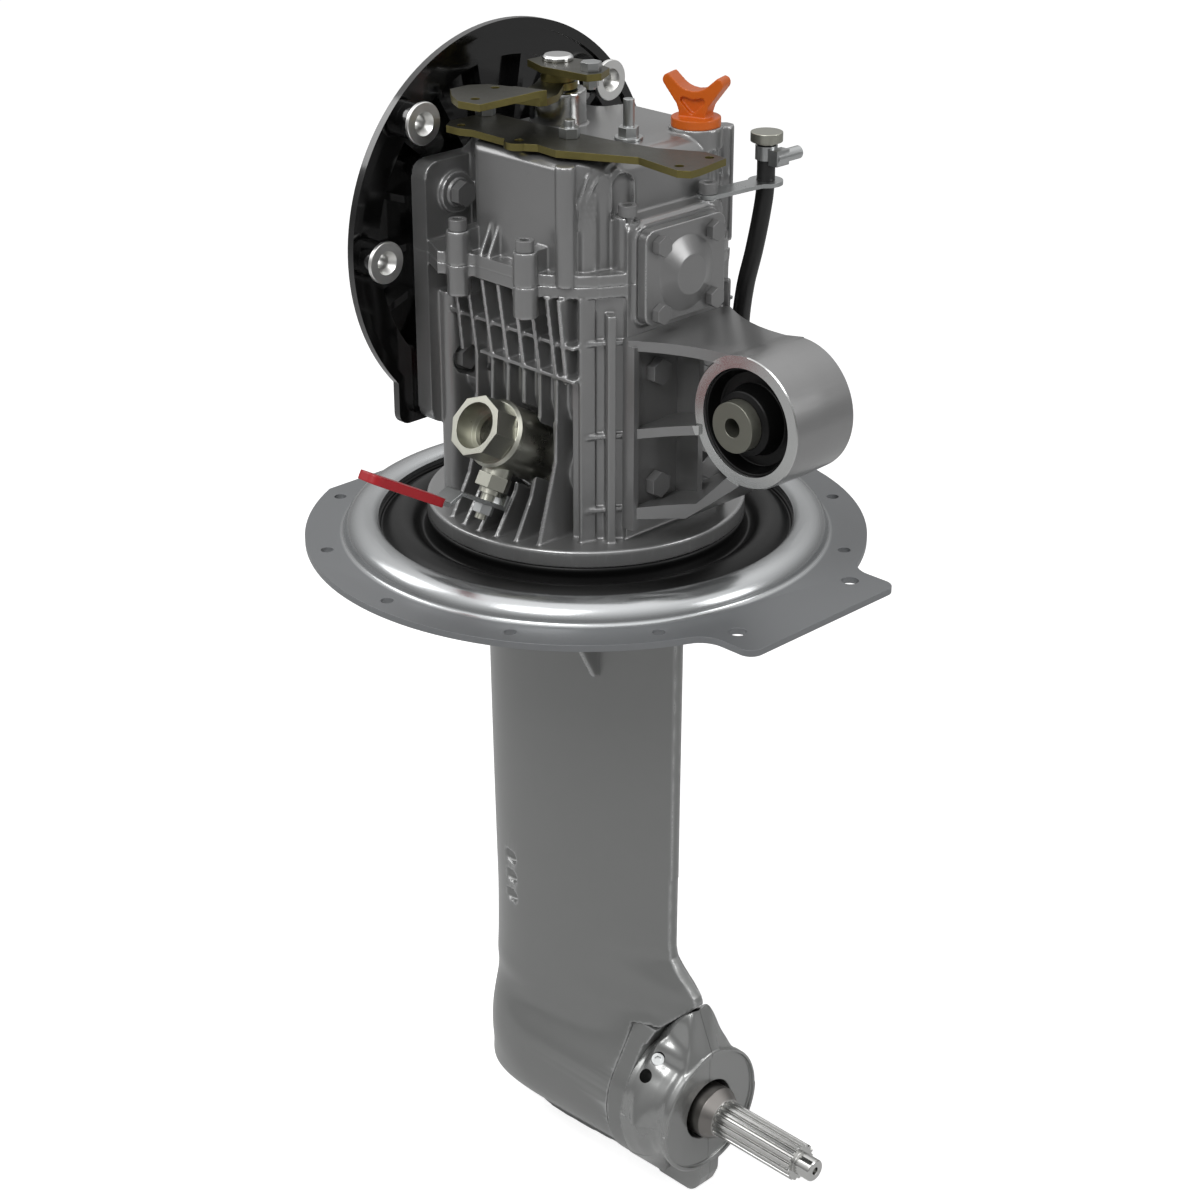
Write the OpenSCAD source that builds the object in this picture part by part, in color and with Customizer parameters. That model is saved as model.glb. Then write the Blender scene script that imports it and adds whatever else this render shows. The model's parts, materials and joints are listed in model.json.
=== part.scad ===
// Saildrive: engine adapter, gear casing, hull ring with rubber diaphragm, leg and
// propeller shaft. Origin at the centre of the hull ring's underside, +X aft,
// +Y starboard, +Z up. Sizes in millimetres.

/* [Hull ring] */
// Outer radius of the ring plate
ring_r = 209; // [206:1:216]
// Thickness of the ring plate
ring_t = 5; // [4:0.5:6]
// Distance of the bolt circle from the ring's edge
ring_edge = 14; // [11:1:16]
// Diameter of the ring's bolt holes
ring_hole_d = 9; // [6:0.5:12]
// Radius where the rolled bead meets the plate
bead_foot_r = 179.5; // [178:0.5:182]
// Radius of the bead's crest
bead_crest_r = 166; // [165:0.5:168]
// Height of the bead's crest above the underside
bead_crest_z = 19.5; // [18.5:0.5:22]
// Inner radius of the ring
ring_lip_r = 154.2; // [153:0.2:156]
// Height of the inner lip
ring_lip_z = 16.7; // [15.5:0.1:17.5]
// Depth of the segment cut off at the straight forward edge
chord_cut = 22; // [9:1:24]
// Reach of the aft tab beyond the ring
tab_reach = 26; // [20:1:34]
// Half width of the aft tab
tab_half = 77; // [72:1:82]
// Distance of the tab holes from the tab's edge
tab_hole_edge = 28.8; // [23:0.2:31]
// Half spacing of the tab holes
tab_hole_y = 59.1; // [52:0.1:62]
// Diameter of the tab holes
tab_hole_d = 12.5; // [8:0.5:14]

/* [Diaphragm] */
// Thickness of the rubber
rubber_t = 5; // [4:0.5:5.5]
// Place of the roll's crest, as a share of the way from the base disc to the ring
roll_place = 0.36; // [0.32:0.01:0.42]
// Height of the roll's crest
roll_z = 14; // [12:0.5:16]

/* [Lower housing] */
// Radius of the base disc
base_r = 117.8; // [117:0.2:120]
// Height of the base disc's top face
base_top_z = 32.8; // [31:0.2:35]
// Height of the joint with the leg
leg_joint_z = 20.5; // [19:0.5:22]
// Half width of the bare casing wall
wall_y = 70; // [69:0.5:71]
// Pitch of the upright ribs
rib_pitch = 16.2; // [15.5:0.1:16.6]
// Thickness of the ribs
rib_t = 3.2; // [2.5:0.1:4]
// Radius of the rib feet on the base disc
rib_foot_r = 111.4; // [108:0.2:113]

/* [Casing joint] */
// Height of the joint and of the input shaft's axis
axis_z = 220; // [220:0.5:222]
// Thickness of each joint flange
flange_t = 8; // [7:0.5:9]
// Half width of the joint flange
flange_y = 90; // [88:0.5:92]
// Distance from the centre to the aft wall
aft_x = 88; // [87:0.5:89]
// Half width of the aft wall
aft_y = 47; // [46:0.5:48]
// Thickness of the front flange
front_t = 15; // [13:0.5:16]
// Distance from the centre to the front face
front_x = 80; // [79:0.5:82]
// Half width of the front flange
front_y = 92; // [90:0.5:94]
// Height of the front flange's top
front_top = 283; // [281:0.5:285]
// Height of the front flange's foot
front_foot = 90; // [88:0.5:92]

/* [Upper housing] */
// Height of the upper housing's top face
top_z = 303; // [302:0.5:305]
// Half width of the upper housing
upper_y = 79; // [78:0.5:80]
// Distance of the upper aft wall from the centre
upper_x = 72; // [71:0.5:74]
// Height of the aft block's top
block_top = 262; // [260:0.5:264]

/* [Engine adapter] */
// Radius of the adapter's rim
adapter_r = 147; // [146:0.5:150]
// Depth of the adapter from rim to engine face
adapter_depth = 20; // [18:0.5:24]
// Half width of the adapter's foot
foot_y = 110; // [108:0.5:114]
// Radius of the bolt circle to the engine
engine_bolt_r = 129; // [128:0.5:131]
// Bore of the bushings
bushing_bore = 10.5; // [8:0.5:12]

/* [Rear mount] */
// Distance of the barrel's axis from the centre
barrel_x = 181; // [178:0.5:185]
// Height of the barrel's axis
barrel_z = 141; // [138:0.5:144]
// Outer radius of the barrel at its middle
barrel_r = 47.3; // [46:0.1:49]
// Inner radius of the barrel
barrel_bore_r = 38; // [37:0.5:39]
// Half length of the barrel
barrel_half = 29; // [27:0.5:31]
// Radius of the bush's steel sleeve
sleeve_r = 17.8; // [16:0.2:20]
// Half length of the bush's steel sleeve
sleeve_half = 42; // [38:0.5:46]
// Bore of the steel sleeve
sleeve_bore = 13; // [10:0.5:16]

/* [Leg] */
// Distance of the leading edge from the centre
lead_x = 95.5; // [94:0.5:98]
// Distance of the trailing edge from the centre
trail_x = 98; // [96:0.5:100]
// Half thickness of the leg
leg_half = 39; // [38:0.5:41]
// Half thickness of the trailing edge
trail_half = 4; // [3:0.5:5]
// Depth of the propeller shaft below the hull ring
prop_depth = 458; // [450:1:480]
// Half width of the gear case
case_r = 54; // [53.5:0.1:55]
// Depth of the keel below the propeller shaft
keel = 91; // [89:0.5:93]
// Distance of the gear case's aft face from the centre
case_x = 76; // [75:0.5:78]

/* [Bearing carrier and anode] */
// Thickness of the carrier's flange
carrier_t = 16; // [15:0.5:17]
// Length of the anode
anode_l = 47; // [46:0.5:49]
// Radius of the anode's rim
anode_r = 52; // [51:0.2:53]
// Radius of the hole in the anode
anode_hole_r = 25; // [23:0.2:26]

/* [Propeller shaft] */
// Radius of the shaft in its seal
seal_r = 21.6; // [20:0.2:22]
// Outer radius of the spline
spline_r = 15; // [14:0.2:16]
// Teeth of the spline
spline_teeth = 17; // [14:1:20]
// Distance of the spline's aft end from the centre
spline_end = 232; // [225:1:240]
// Length of the plain stub behind the spline
stub_l = 15; // [12:0.5:18]
// Radius of the stub
stub_r = 9; // [7:0.5:10]

/* [Gears] */
// Module of the upper bevel gears
upper_mod = 3; // [2.9:0.05:3.05]
// Teeth of the input pinion
input_teeth = 20; // [20:2:20]
// Teeth of the ahead and astern gears
clutch_teeth = 24; // [24:1:24]
// Module of the lower bevel gears
lower_mod = 2.85; // [2.7:0.05:2.9]
// Teeth of the lower pinion
pinion_teeth = 15; // [15:1:15]
// Teeth of the propeller gear
prop_teeth = 28; // [28:1:28]
// Radius of the upright shaft
upright_r = 11; // [10:0.5:12]
// Travel of the clutch each way
clutch_travel = 4; // [3.5:0.1:4]
// Running clearance of shafts and bores
run = 0.05; // [0.02:0.01:0.08]
// Gap between parts that only lie beside each other
gap = 0.3; // [0.2:0.05:0.4]

/* [Sea-water valve] */
// Distance of the valve's middle aft of the centre
valve_x = 17; // [14:0.5:18]
// Distance of the valve's middle to port
valve_y = 92; // [91:0.5:94]
// Height of the valve's middle
valve_z = 102; // [100:0.5:104]
// Tilt of the valve above the horizontal
valve_tilt = 30; // [28:1:32]
// Radius of the valve's body
valve_r = 23.5; // [23:0.1:24.5]
// Length from the valve's middle to each end
valve_half = 38; // [37:0.5:40]
// Radius of the water way
water_r = 12.5; // [12:0.1:13]
// Radius of the threaded mouth
mouth_r = 16.5; // [16:0.1:17.5]
// Width across flats of the eight-sided end
valve_flats = 41; // [40:0.5:43]
// Radius of the ball
ball_r = 17; // [16.5:0.1:17.2]

/* [Filler cap] */
// Distance of the filler aft of the centre
cap_x = 55; // [54:0.5:56]
// Distance of the filler to starboard
cap_y = 54; // [53:0.5:55]
// Radius of the cap's disc
cap_r = 17.5; // [16.5:0.1:18.5]

/* [Shift gear] */
// Distance of the shift shaft forward of the centre
shift_x = 27; // [26.5:0.5:27.5]
// Radius of the shift shaft
shift_r = 8; // [7:0.5:9]
// Height of the shift neck above the casing
neck_h = 24; // [22:0.5:26]
// Thickness of the cable bracket and the levers
plate_t = 5; // [4:0.5:6]
// Angle that the lever turns each way
shift_angle = 25; // [20:1:26]

/* [Hidden] */
$fn = 64;

// Points of an arc about (x, y)
function arc(x, y, r, from, to, n = 8) =
    [for (i = [0:n]) let (a = from + (to - from) * i / n) [x + r * cos(a), y + r * sin(a)]];
// Rectangle with rounded corners, from its half sizes
function round_box(w, h, r, n = 6) =
    concat(arc(w - r, h - r, r, 0, 90, n), arc(r - w, h - r, r, 90, 180, n),
        arc(r - w, r - h, r, 180, 270, n), arc(w - r, r - h, r, 270, 360, n));
function mirrored(pts) = concat(pts, [for (i = [len(pts) - 1:-1:0]) [pts[i].x, -pts[i].y]]);

// Puts a child that is drawn along +Z along +X or +Y
module along_x(x, y = 0, z = 0) translate([x, y, z]) rotate([0, 90, 0]) children();
module along_y(x, y, z) translate([x, y, z]) rotate([-90, 0, 0]) children();
// Profile drawn in X and Z, given a thickness in Y about y
module side_plate(y, t) translate([0, y + t / 2, 0]) rotate([90, 0, 0]) linear_extrude(t) children();
// Profile drawn in Y and Z, given a thickness in X from x
module cross_plate(x, t) translate([x, 0, 0]) rotate([90, 0, 90]) linear_extrude(t) children();
module both_sides() { children(); mirror([0, 1, 0]) children(); }
module tube(r, bore, h) difference() {
    cylinder(r = r, h = h);
    translate([0, 0, -1]) cylinder(r = bore, h = h + 2);
}
// Hexagon of a given width across flats
module hexagon(flats, h) cylinder(r = flats / sqrt(3), h = h, $fn = 6);

// Hull ring

ring_bolt_r = ring_r - ring_edge;
chord_x = ring_r - chord_cut;
tab_x = ring_r + tab_reach;
tab_hole_x = tab_x - tab_hole_edge;
plate_tab_r = 10;
tab_fillet = 20;
bead_round = 14;
groove_r = ring_lip_r + 11.8;
groove_low = 4;
groove_high = groove_low + rubber_t + 2;

module tab_outline() {
    fillet_y = tab_half + tab_fillet;
    fillet_x = sqrt(pow(ring_r + tab_fillet, 2) - pow(fillet_y, 2));
    touch = ring_r / (ring_r + tab_fillet);
    square_end = tab_x - plate_tab_r;
    polygon([[0, -tab_half], [square_end, -tab_half], [square_end, tab_half], [0, tab_half]]);
    polygon([[0, plate_tab_r - tab_half], [tab_x, plate_tab_r - tab_half],
        [tab_x, tab_half - plate_tab_r], [0, tab_half - plate_tab_r]]);
    for (s = [-1, 1]) {
        translate([square_end, s * (tab_half - plate_tab_r)]) circle(plate_tab_r);
        difference() {
            polygon([[fillet_x, s * tab_half], [fillet_x, s * fillet_y],
                [fillet_x * touch, s * fillet_y * touch], [fillet_x * touch - 20, s * (tab_half - 5)],
                [fillet_x, s * (tab_half - 5)]]);
            translate([fillet_x, s * fillet_y]) circle(tab_fillet);
        }
    }
}
module hull_ring() color("gray") {
    difference() {
        union() {
            linear_extrude(ring_t) difference() {
                union() {
                    circle(ring_r, $fn = 180);
                    tab_outline();
                }
                translate([-chord_x - 100, -ring_r]) square([100, 2 * ring_r]);
            }
            rotate_extrude($fn = 180) polygon(concat(
                [[ring_lip_r, 0], [bead_foot_r + 4, 0], [bead_foot_r + 4, ring_t]],
                arc(bead_foot_r + 4, ring_t + 4, 4, 270, 200, 4),
                arc(bead_crest_r, bead_crest_z - bead_round, bead_round, 12, 90, 9),
                arc(bead_crest_r, bead_crest_z - 2 * bead_round, 2 * bead_round, 96, 108, 3),
                [[ring_lip_r + 1.5, ring_lip_z], [ring_lip_r, ring_lip_z - 1.5]]));
        }
        translate([0, 0, -1]) cylinder(r = ring_lip_r, h = 40, $fn = 180);
        for (a = [30:30:150], s = [-1, 1]) rotate(s * a) translate([ring_bolt_r, 0, -1])
            cylinder(d = ring_hole_d, h = ring_t + 20);
        for (s = [-1, 1]) translate([tab_hole_x, s * tab_hole_y, -1])
            cylinder(d = tab_hole_d, h = ring_t + 20);
        // Groove that grips the rubber's outer edge
        rotate_extrude($fn = 180) polygon([[ring_lip_r - 1, groove_low], [groove_r, groove_low],
            [groove_r, groove_high], [ring_lip_r - 1, groove_high]]);
    }
}

// Rubber diaphragm: a bead under the base disc, a valley, a roll and a bead in the ring

leg_flange_r = base_r - 11.8;
bead_low = 8;
free_w = ring_lip_r - base_r;
roll_r = base_r + free_w * roll_place;
valley_r = base_r + free_w * 0.13;
valley_z = 5;
dip_r = base_r + free_w * 0.69;
dip_z = 8.5;
lip_top = ring_lip_z - 3;

function wave(r0, z0, r1, z1, n) = [for (i = [0:n]) let (t = i / n)
    [r0 + (r1 - r0) * t, z0 + (z1 - z0) * (1 - cos(180 * t)) / 2]];
function diaphragm_top() = concat([[base_r, leg_joint_z], [base_r + 0.8, leg_joint_z - 3]],
    wave(base_r + 1.5, leg_joint_z - 6, valley_r, valley_z, 5),
    wave(valley_r + 0.4, valley_z, roll_r, roll_z, 8),
    wave(roll_r + 0.5, roll_z, dip_r, dip_z, 8),
    wave(dip_r + 0.5, dip_z, ring_lip_r - 0.6, lip_top, 6));
module diaphragm() color("black") {
    top = diaphragm_top();
    rotate_extrude($fn = 180) polygon(concat(top,
        [[ring_lip_r, lip_top - 1], [ring_lip_r, groove_high], [groove_r, groove_high],
            [groove_r, groove_low], [ring_lip_r - 1, groove_low], [dip_r, dip_z - rubber_t - 1],
            [roll_r + 6, dip_z - rubber_t + 2], [roll_r, roll_z - rubber_t],
            [(roll_r + valley_r) / 2, valley_z - rubber_t + 2], [valley_r, valley_z - rubber_t],
            [base_r, valley_z - rubber_t + 3], [base_r - 1, bead_low],
            [leg_flange_r, bead_low], [leg_flange_r, leg_joint_z]]));
}

// Bores for shafts, gears and bearings, cut from both casings alike

cone_in = atan(input_teeth / clutch_teeth);
in_pitch_r = upper_mod * input_teeth / 2;
clutch_pitch_r = upper_mod * clutch_teeth / 2;
chamber_r = clutch_pitch_r + 7;
chamber_h = in_pitch_r + 6.5;
gear_bearing_r = 40;
gear_bearing_t = 12;
input_bearing_r = 31;
input_bearing_from = 70;
input_bearing_t = 24;
input_seal_r = 26;
rod_x = -12;
rod_y = chamber_r + 4;
rod_r = 6;
drum_r = 15;
drum_low = axis_z + 60;
drum_h = 16;
rod_top = drum_low + drum_h - 4;
rod_low = axis_z - 42;
top_bearing_r = 19;
top_bearing_z = axis_z + 50.5;
top_bearing_t = 6.5;
low_bearing_r = 26;
low_bearing_z = axis_z - 70;
low_bearing_t = 14;
shaft_way_r = 16;

module inner_bores() {
    translate([0, 0, axis_z - chamber_h]) cylinder(r = chamber_r, h = 2 * chamber_h);
    translate([0, 0, axis_z - chamber_h - gear_bearing_t - 1])
        cylinder(r = gear_bearing_r, h = 2 * (chamber_h + gear_bearing_t + 1));
    // Way for the shift fork and its rod
    translate([rod_x - 7, 0, axis_z - chamber_h]) cube([14, rod_y, 2 * chamber_h]);
    translate([rod_x, rod_y, axis_z - chamber_h]) cylinder(r = rod_r + 1.5, h = 2 * chamber_h);
    translate([rod_x, rod_y, rod_low - 8]) cylinder(r = rod_r + run, h = 120);
    // Shaft of the input pinion and what carries it
    along_x(-input_bearing_from + input_bearing_t, 0, axis_z) cylinder(r = in_pitch_r + 5, h = 30);
    along_x(-input_bearing_from, 0, axis_z) cylinder(r = input_bearing_r, h = input_bearing_t + 1);
    along_x(-front_x - 1, 0, axis_z) cylinder(r = input_seal_r, h = front_x);
    // Bearings of the upright shaft
    translate([0, 0, low_bearing_z]) cylinder(r = low_bearing_r, h = 60);
    translate([0, 0, -1]) cylinder(r = shaft_way_r, h = axis_z);
    translate([0, 0, axis_z]) cylinder(r = top_bearing_r, h = top_bearing_z + top_bearing_t - axis_z);
    // Drum of the shift shaft and the head of the fork's rod
    translate([-shift_x, 0, drum_low - 1]) cylinder(r = drum_r + 1, h = drum_h + 2);
    translate([-shift_x, 0, drum_low]) cylinder(r = shift_r + run, h = 100);
    translate([-shift_x, 0, drum_low - 1]) rotate(atan2(rod_y, rod_x + shift_x))
        translate([0, -rod_r - 1.5, 0]) cube([norm([rod_y, rod_x + shift_x]), 2 * rod_r + 3, drum_h + 2]);
    translate([rod_x, rod_y, drum_low - 1]) cylinder(r = rod_r + 3, h = drum_h + 2);
    // Well of the dipstick and its way to the shaft
    translate([cap_x, cap_y, dip_well_z]) cylinder(r = dip_well_r, h = top_z - dip_well_z - 20);
    translate([0, 0, dip_well_z + 12]) rotate(atan2(cap_y, cap_x)) rotate([0, 90, 0])
        cylinder(r = 5, h = norm([cap_x, cap_y]));
}
dip_well_z = 152;
dip_well_r = 8;

// Casings

corner_x = 69.7;
corner_y = 74.2;
screw_x = [-30, 39];
screw_y = [94, 95.6];
screw_boss_r = 8.5;
screw_r = 4;
screw_top = 24;
aft_screw_x = 80.8;
aft_screw_y = 39.7;
aft_screw_boss = 8.5;
aft_screw_top = 3.5;
front_bolt_y = 66;
front_bolt_up = 39;
front_bolt_down = 81;
front_bolt_z = [axis_z + front_bolt_up, axis_z - front_bolt_down];
front_pad_r = 15;
front_pad_t = 5;
front_bolt_r = 5;
front_round = 11;

// Joint flange seen from above, starboard half, from front to aft
function flange_outline() = concat([[-front_x, front_y - 1], [-front_x + front_t, front_y - 1]],
    [[-47, front_y + 8], [-42, front_y + 11], [-21, flange_y + 2], [-18, flange_y]],
    [[45, flange_y], [49.6, flange_y - 2], [corner_x - 1.2, corner_y + 0.3], [78.2, 63.7],
        [aft_x - 0.6, aft_y + 0.4], [aft_x + 0.4, 35]]);
module joint_flange(z) translate([0, 0, z]) linear_extrude(flange_t)
    polygon(mirrored(flange_outline()));
module front_flange(from, to) {
    cross_plate(-front_x, front_t) intersection() {
        translate([0, (front_top + front_foot) / 2])
            polygon(round_box(front_y, (front_top - front_foot) / 2, front_round));
        translate([-front_y, from]) square([2 * front_y, to - from]);
    }
}
module screw_bosses(z, h) both_sides() {
    for (i = [0, 1]) {
        translate([screw_x[i], screw_y[i], z]) cylinder(r = screw_boss_r, h = h);
        translate([screw_x[i] - 5, wall_y, z]) cube([10, screw_y[i] - wall_y, h]);
    }
}
module screw_holes() both_sides() {
    for (i = [0, 1]) translate([screw_x[i], screw_y[i], axis_z - 21]) cylinder(r = screw_r, h = 60);
    translate([aft_screw_x, aft_screw_y, axis_z - 20]) cylinder(r = screw_r, h = 80);
}
module front_bolt_work(cut) for (s = [-1, 1], z = front_bolt_z)
    if (cut) along_x(-front_x - 1, s * front_bolt_y, z) {
        cylinder(r = front_bolt_r, h = 60);
        translate([0, 0, front_t + front_pad_t + 1]) cylinder(r = front_pad_r - 2, h = 24);
    }
    else along_x(-front_x + front_t - 1, s * front_bolt_y, z) cylinder(r = front_pad_r, h = front_pad_t + 1);

module upright_rib(x, foot) side_rib(x, rib_t, [[40, base_top_z], [foot, base_top_z],
    [wall_y + 20, base_top_z + 30], [wall_y + 12, base_top_z + 58], [wall_y + 10, 150],
    [flange_y - 1, axis_z - flange_t], [60, axis_z - flange_t], [60, 120], [40, 90]]);
module side_rib(x, t, outline) cross_plate(x - t / 2, t) polygon(outline);

module lower_wall() {
    intersection() {
        lower_plan();
        union() {
            cross_plate(-front_x, 2 * front_x) polygon(mirrored_yz([[wall_y + 1, axis_z], [wall_y + 1, 134],
                [wall_y - 3, 120], [low_wall_y + 2, 98], [low_wall_y, 84], [low_wall_y, leg_joint_z]]));
            translate([hose_x - 2, -front_y, 0]) cube([aft_x, 2 * front_y, axis_z]);
        }
    }
    translate([0, 0, leg_joint_z]) rotate_extrude($fn = 180)
        polygon([[0, 0], [base_r, 0], [base_r, base_top_z - leg_joint_z - 1],
            [base_r - 1, base_top_z - leg_joint_z], [0, base_top_z - leg_joint_z]]);
}
low_wall_y = 48;
function mirrored_yz(pts) = concat(pts, [for (i = [len(pts) - 1:-1:0]) [-pts[i].x, pts[i].y]]);
module lower_plan() translate([0, 0, leg_joint_z]) linear_extrude(axis_z - leg_joint_z) polygon(mirrored(concat(
        [[-front_x + front_t - 6, 46], [-front_x + front_t - 6, wall_y - 12]],
        arc(-front_x + front_t + 6, wall_y - 12, 12, 180, 90, 4),
        [[hose_x - 2, wall_y]], [[corner_x - 6, wall_y - 2], [corner_x + 2, wall_y - 8], [aft_x - 3, aft_y],
            [aft_x, aft_y]])));
module lower_ribs() both_sides() {
    for (i = [0:5]) upright_rib(-29.4 + i * rib_pitch, sqrt(pow(rib_foot_r, 2) - pow(-29.4 + i * rib_pitch, 2)));
    for (x = [-45.6, 60]) side_rib(x, rib_t, [[60, 150], [wall_y + 9, 150],
        [flange_y - 4, axis_z - flange_t], [60, axis_z - flange_t]]);
    // Corner rib, from the base disc to the flange
    translate([corner_x, corner_y - 4, base_top_z]) rotate(20)
        translate([-2, -8, 0]) cube([4, 12, axis_z - flange_t - base_top_z]);
    // Level ribs
    for (r = [[178, -62, corner_x], [154, -24, corner_x]])
        translate([r[1], 60, r[0] - 1.5]) cube([r[2] - r[1], wall_y - 60 + 11, 3]);
    // Ribs of the corner face
    for (z = [55, 110, 178]) translate([0, 0, z]) linear_extrude(3)
        polygon([[corner_x, corner_y], [corner_x, 50], [aft_x, 40], [aft_x, aft_y + 1]]);
    translate([79, 55, base_top_z]) rotate(-58) translate([-3, -4, 0]) cube([6, 12, axis_z - 20 - base_top_z]);
    // Column behind the front flange
    translate([-front_x + front_t + 4, wall_y + 5, base_top_z]) cylinder(r = 8, h = axis_z - base_top_z - 30);
    translate([-front_x + front_t - 2, wall_y - 10, base_top_z]) cube([14, 15, axis_z - base_top_z - 30]);
}
// Frame of the valve: +Z along the water way outward, -Y along the stem
module valve_frame() translate([valve_x, -valve_y, valve_z]) rotate([90 - valve_tilt, 0, 0]) children();
hose_x = 60;
hose_low_z = 90;

module lower_housing() color("gray") difference() {
    union() {
        lower_wall();
        lower_ribs();
        joint_flange(axis_z - flange_t);
        front_flange(front_foot, axis_z);
        screw_bosses(axis_z - 22, 22);
        intersection() {
            front_bolt_work(false);
            translate([-200, -200, 0]) cube([400, 400, axis_z]);
        }
        cover_seat(-1);
        // Seat of the sea-water valve
        valve_frame() translate([0, 0, -valve_half - 26]) cylinder(r = valve_r + 3, h = 28);
        along_x(valve_x, -low_wall_y + 2, valve_z - 23) cylinder(r = valve_r - 1, h = corner_x - valve_x);
        // Seat of the oil hose
        translate([hose_x, wall_y - 6, hose_low_z]) rotate([-90, 0, 0]) cylinder(r = 11, h = 14);
    }
    inner_bores();
    screw_holes();
    front_bolt_work(true);
    cover_bolt_holes();
    // Room for the valve's body
    valve_frame() translate([0, 0, -valve_half]) cylinder(r = valve_r + gap, h = 80);
    valve_frame() translate([0, 0, 2 - valve_half]) cylinder(r = valve_r + 3.2, h = 80);
    // Water way from the valve into the casting
    valve_frame() translate([0, 0, -valve_half - 14]) cylinder(r = water_r, h = 16);
    valve_frame() translate([0, 0, -valve_half - 10]) cylinder(r = mouth_r, h = 12);
    translate([hose_x, wall_y - 14, hose_low_z]) rotate([-90, 0, 0]) cylinder(r = 4, h = 30);
    bracket_bolt_holes();
    leg_bolt_places() translate([0, 0, leg_joint_z - 1]) cylinder(r = leg_screw_r, h = 9.5);
}
leg_bolt_r = 92;
leg_bolt_angles = [25, 55, 90, 128, 152];
leg_screw_r = 4;
leg_head_z = 1;
module leg_bolt_places() both_sides() for (a = leg_bolt_angles) rotate(a) translate([leg_bolt_r, 0, 0]) children();
module leg_bolts() color("silver") leg_bolt_places() translate([0, 0, leg_head_z]) mirror([0, 0, 1])
    cap_screw(leg_screw_r, 6.5, 8, leg_joint_z - leg_head_z + 7.5, 6);

// Upper housing, seen from above, starboard half, from front to aft
function upper_outline() = concat([[-front_x + 1, 50], [-front_x + front_t + 14, 50]],
    [[-44, 51], [-36, 56]], arc(-24, upper_y - 8, 8, 160, 90, 4), [[52, upper_y]],
    arc(52, upper_y - 8, 8, 80, 30, 3), [[upper_x - 5, 62]], arc(upper_x - 9, 48, 9, 30, 0, 2), [[upper_x, 30]]);
module upper_body() intersection() {
    translate([0, 0, axis_z]) linear_extrude(top_z - axis_z) polygon(mirrored(upper_outline()));
    // Rounded along its forward and aft upper edges
    side_plate(0, 200) polygon(concat([[-front_x, axis_z], [upper_x, axis_z]],
        arc(upper_x - 13, top_z - 13, 13, 0, 90, 6), arc(-front_x + 30, top_z - 10, 10, 90, 150, 4),
        [[-front_x, front_top - 4]]));
    cross_plate(-100, 200) polygon(concat([[upper_y + 1, axis_z]], arc(upper_y - 8, top_z - 9, 9, 0, 90, 5),
        arc(8 - upper_y, top_z - 9, 9, 90, 180, 5), [[-upper_y - 1, axis_z]]));
}
module upper_housing() color("gray") difference() {
    union() {
        upper_body();
        joint_flange(axis_z);
        front_flange(axis_z, front_top);
        screw_bosses(axis_z, screw_top);
        intersection() {
            front_bolt_work(false);
            translate([-200, -200, axis_z]) cube([400, 400, 200]);
        }
        // Aft block that carries the rear cover
        intersection() {
            translate([upper_x - 20, -aft_y, axis_z]) cube([aft_x - upper_x + 20, 2 * aft_y, block_top - axis_z]);
            side_plate(0, 200) polygon(concat([[0, axis_z]], [[aft_x, axis_z]],
                arc(aft_x - 5, block_top - 5, 5, 0, 90, 4), [[0, block_top]]));
        }
        for (s = [-1, 1]) translate([aft_screw_x - 1, s * aft_screw_y, axis_z])
            cylinder(r = aft_screw_boss, h = block_top + aft_screw_top - axis_z - (s > 0 ? strap_t : 0));
        // Columns of the side wall
        both_sides() {
            translate([60, upper_y - 1, axis_z]) cylinder(r = 7, h = top_z - axis_z);
            for (x = [-13, -5]) side_rib(x, 3, [[70, axis_z], [flange_y, axis_z + flange_t],
                [upper_y, axis_z + 30], [70, axis_z + 30]]);
            side_rib(30, 3, [[70, axis_z], [flange_y, axis_z + flange_t], [upper_y, axis_z + 26],
                [70, axis_z + 26]]);
        }
        // Neck of the shift shaft and filler neck
        translate([-shift_x, 0, top_z - 5]) cylinder(r = 20, h = neck_h + 5);
        translate([cap_x, cap_y, top_z - 12]) cylinder(r = 19, h = 15);
        for (p = stud_places) translate([p[0], p[1], top_z - 20]) cylinder(r = 10, h = 20);
        cover_seat(1);
    }
    inner_bores();
    screw_holes();
    front_bolt_work(true);
    translate([cap_x, cap_y, axis_z + 18]) cylinder(r = filler_bore, h = 100);
    cover_bolt_holes();
    translate([0, 0, axis_z - 100]) cube([400, 400, 200], center = true);
    for (p = stud_places) translate([p[0], p[1], top_z - 16]) cylinder(r = 4 + run, h = 20);
    translate([long_stud_x, long_stud_y, top_z - 16]) cylinder(r = 4 + run, h = 20);
}
filler_bore = 13;
long_stud_x = 40.6;
long_stud_y = 1.9;
stud_places = [[30.6, -44.9], [-56, -42.5]];

// Rear cover

cover_low = 190.5;
cover_high = 257;
cover_half = 39.5;
cover_t = 8;
cover_seat_t = 2;
cover_bolt_y = 26.5;
cover_bolt_z = [198, 246];
cover_bolt_r = 4;
module cover_plate(more) translate([0, (cover_high + cover_low) / 2])
    polygon(round_box(cover_half + more, (cover_high - cover_low) / 2 + more, 8 + more / 2));
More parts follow.
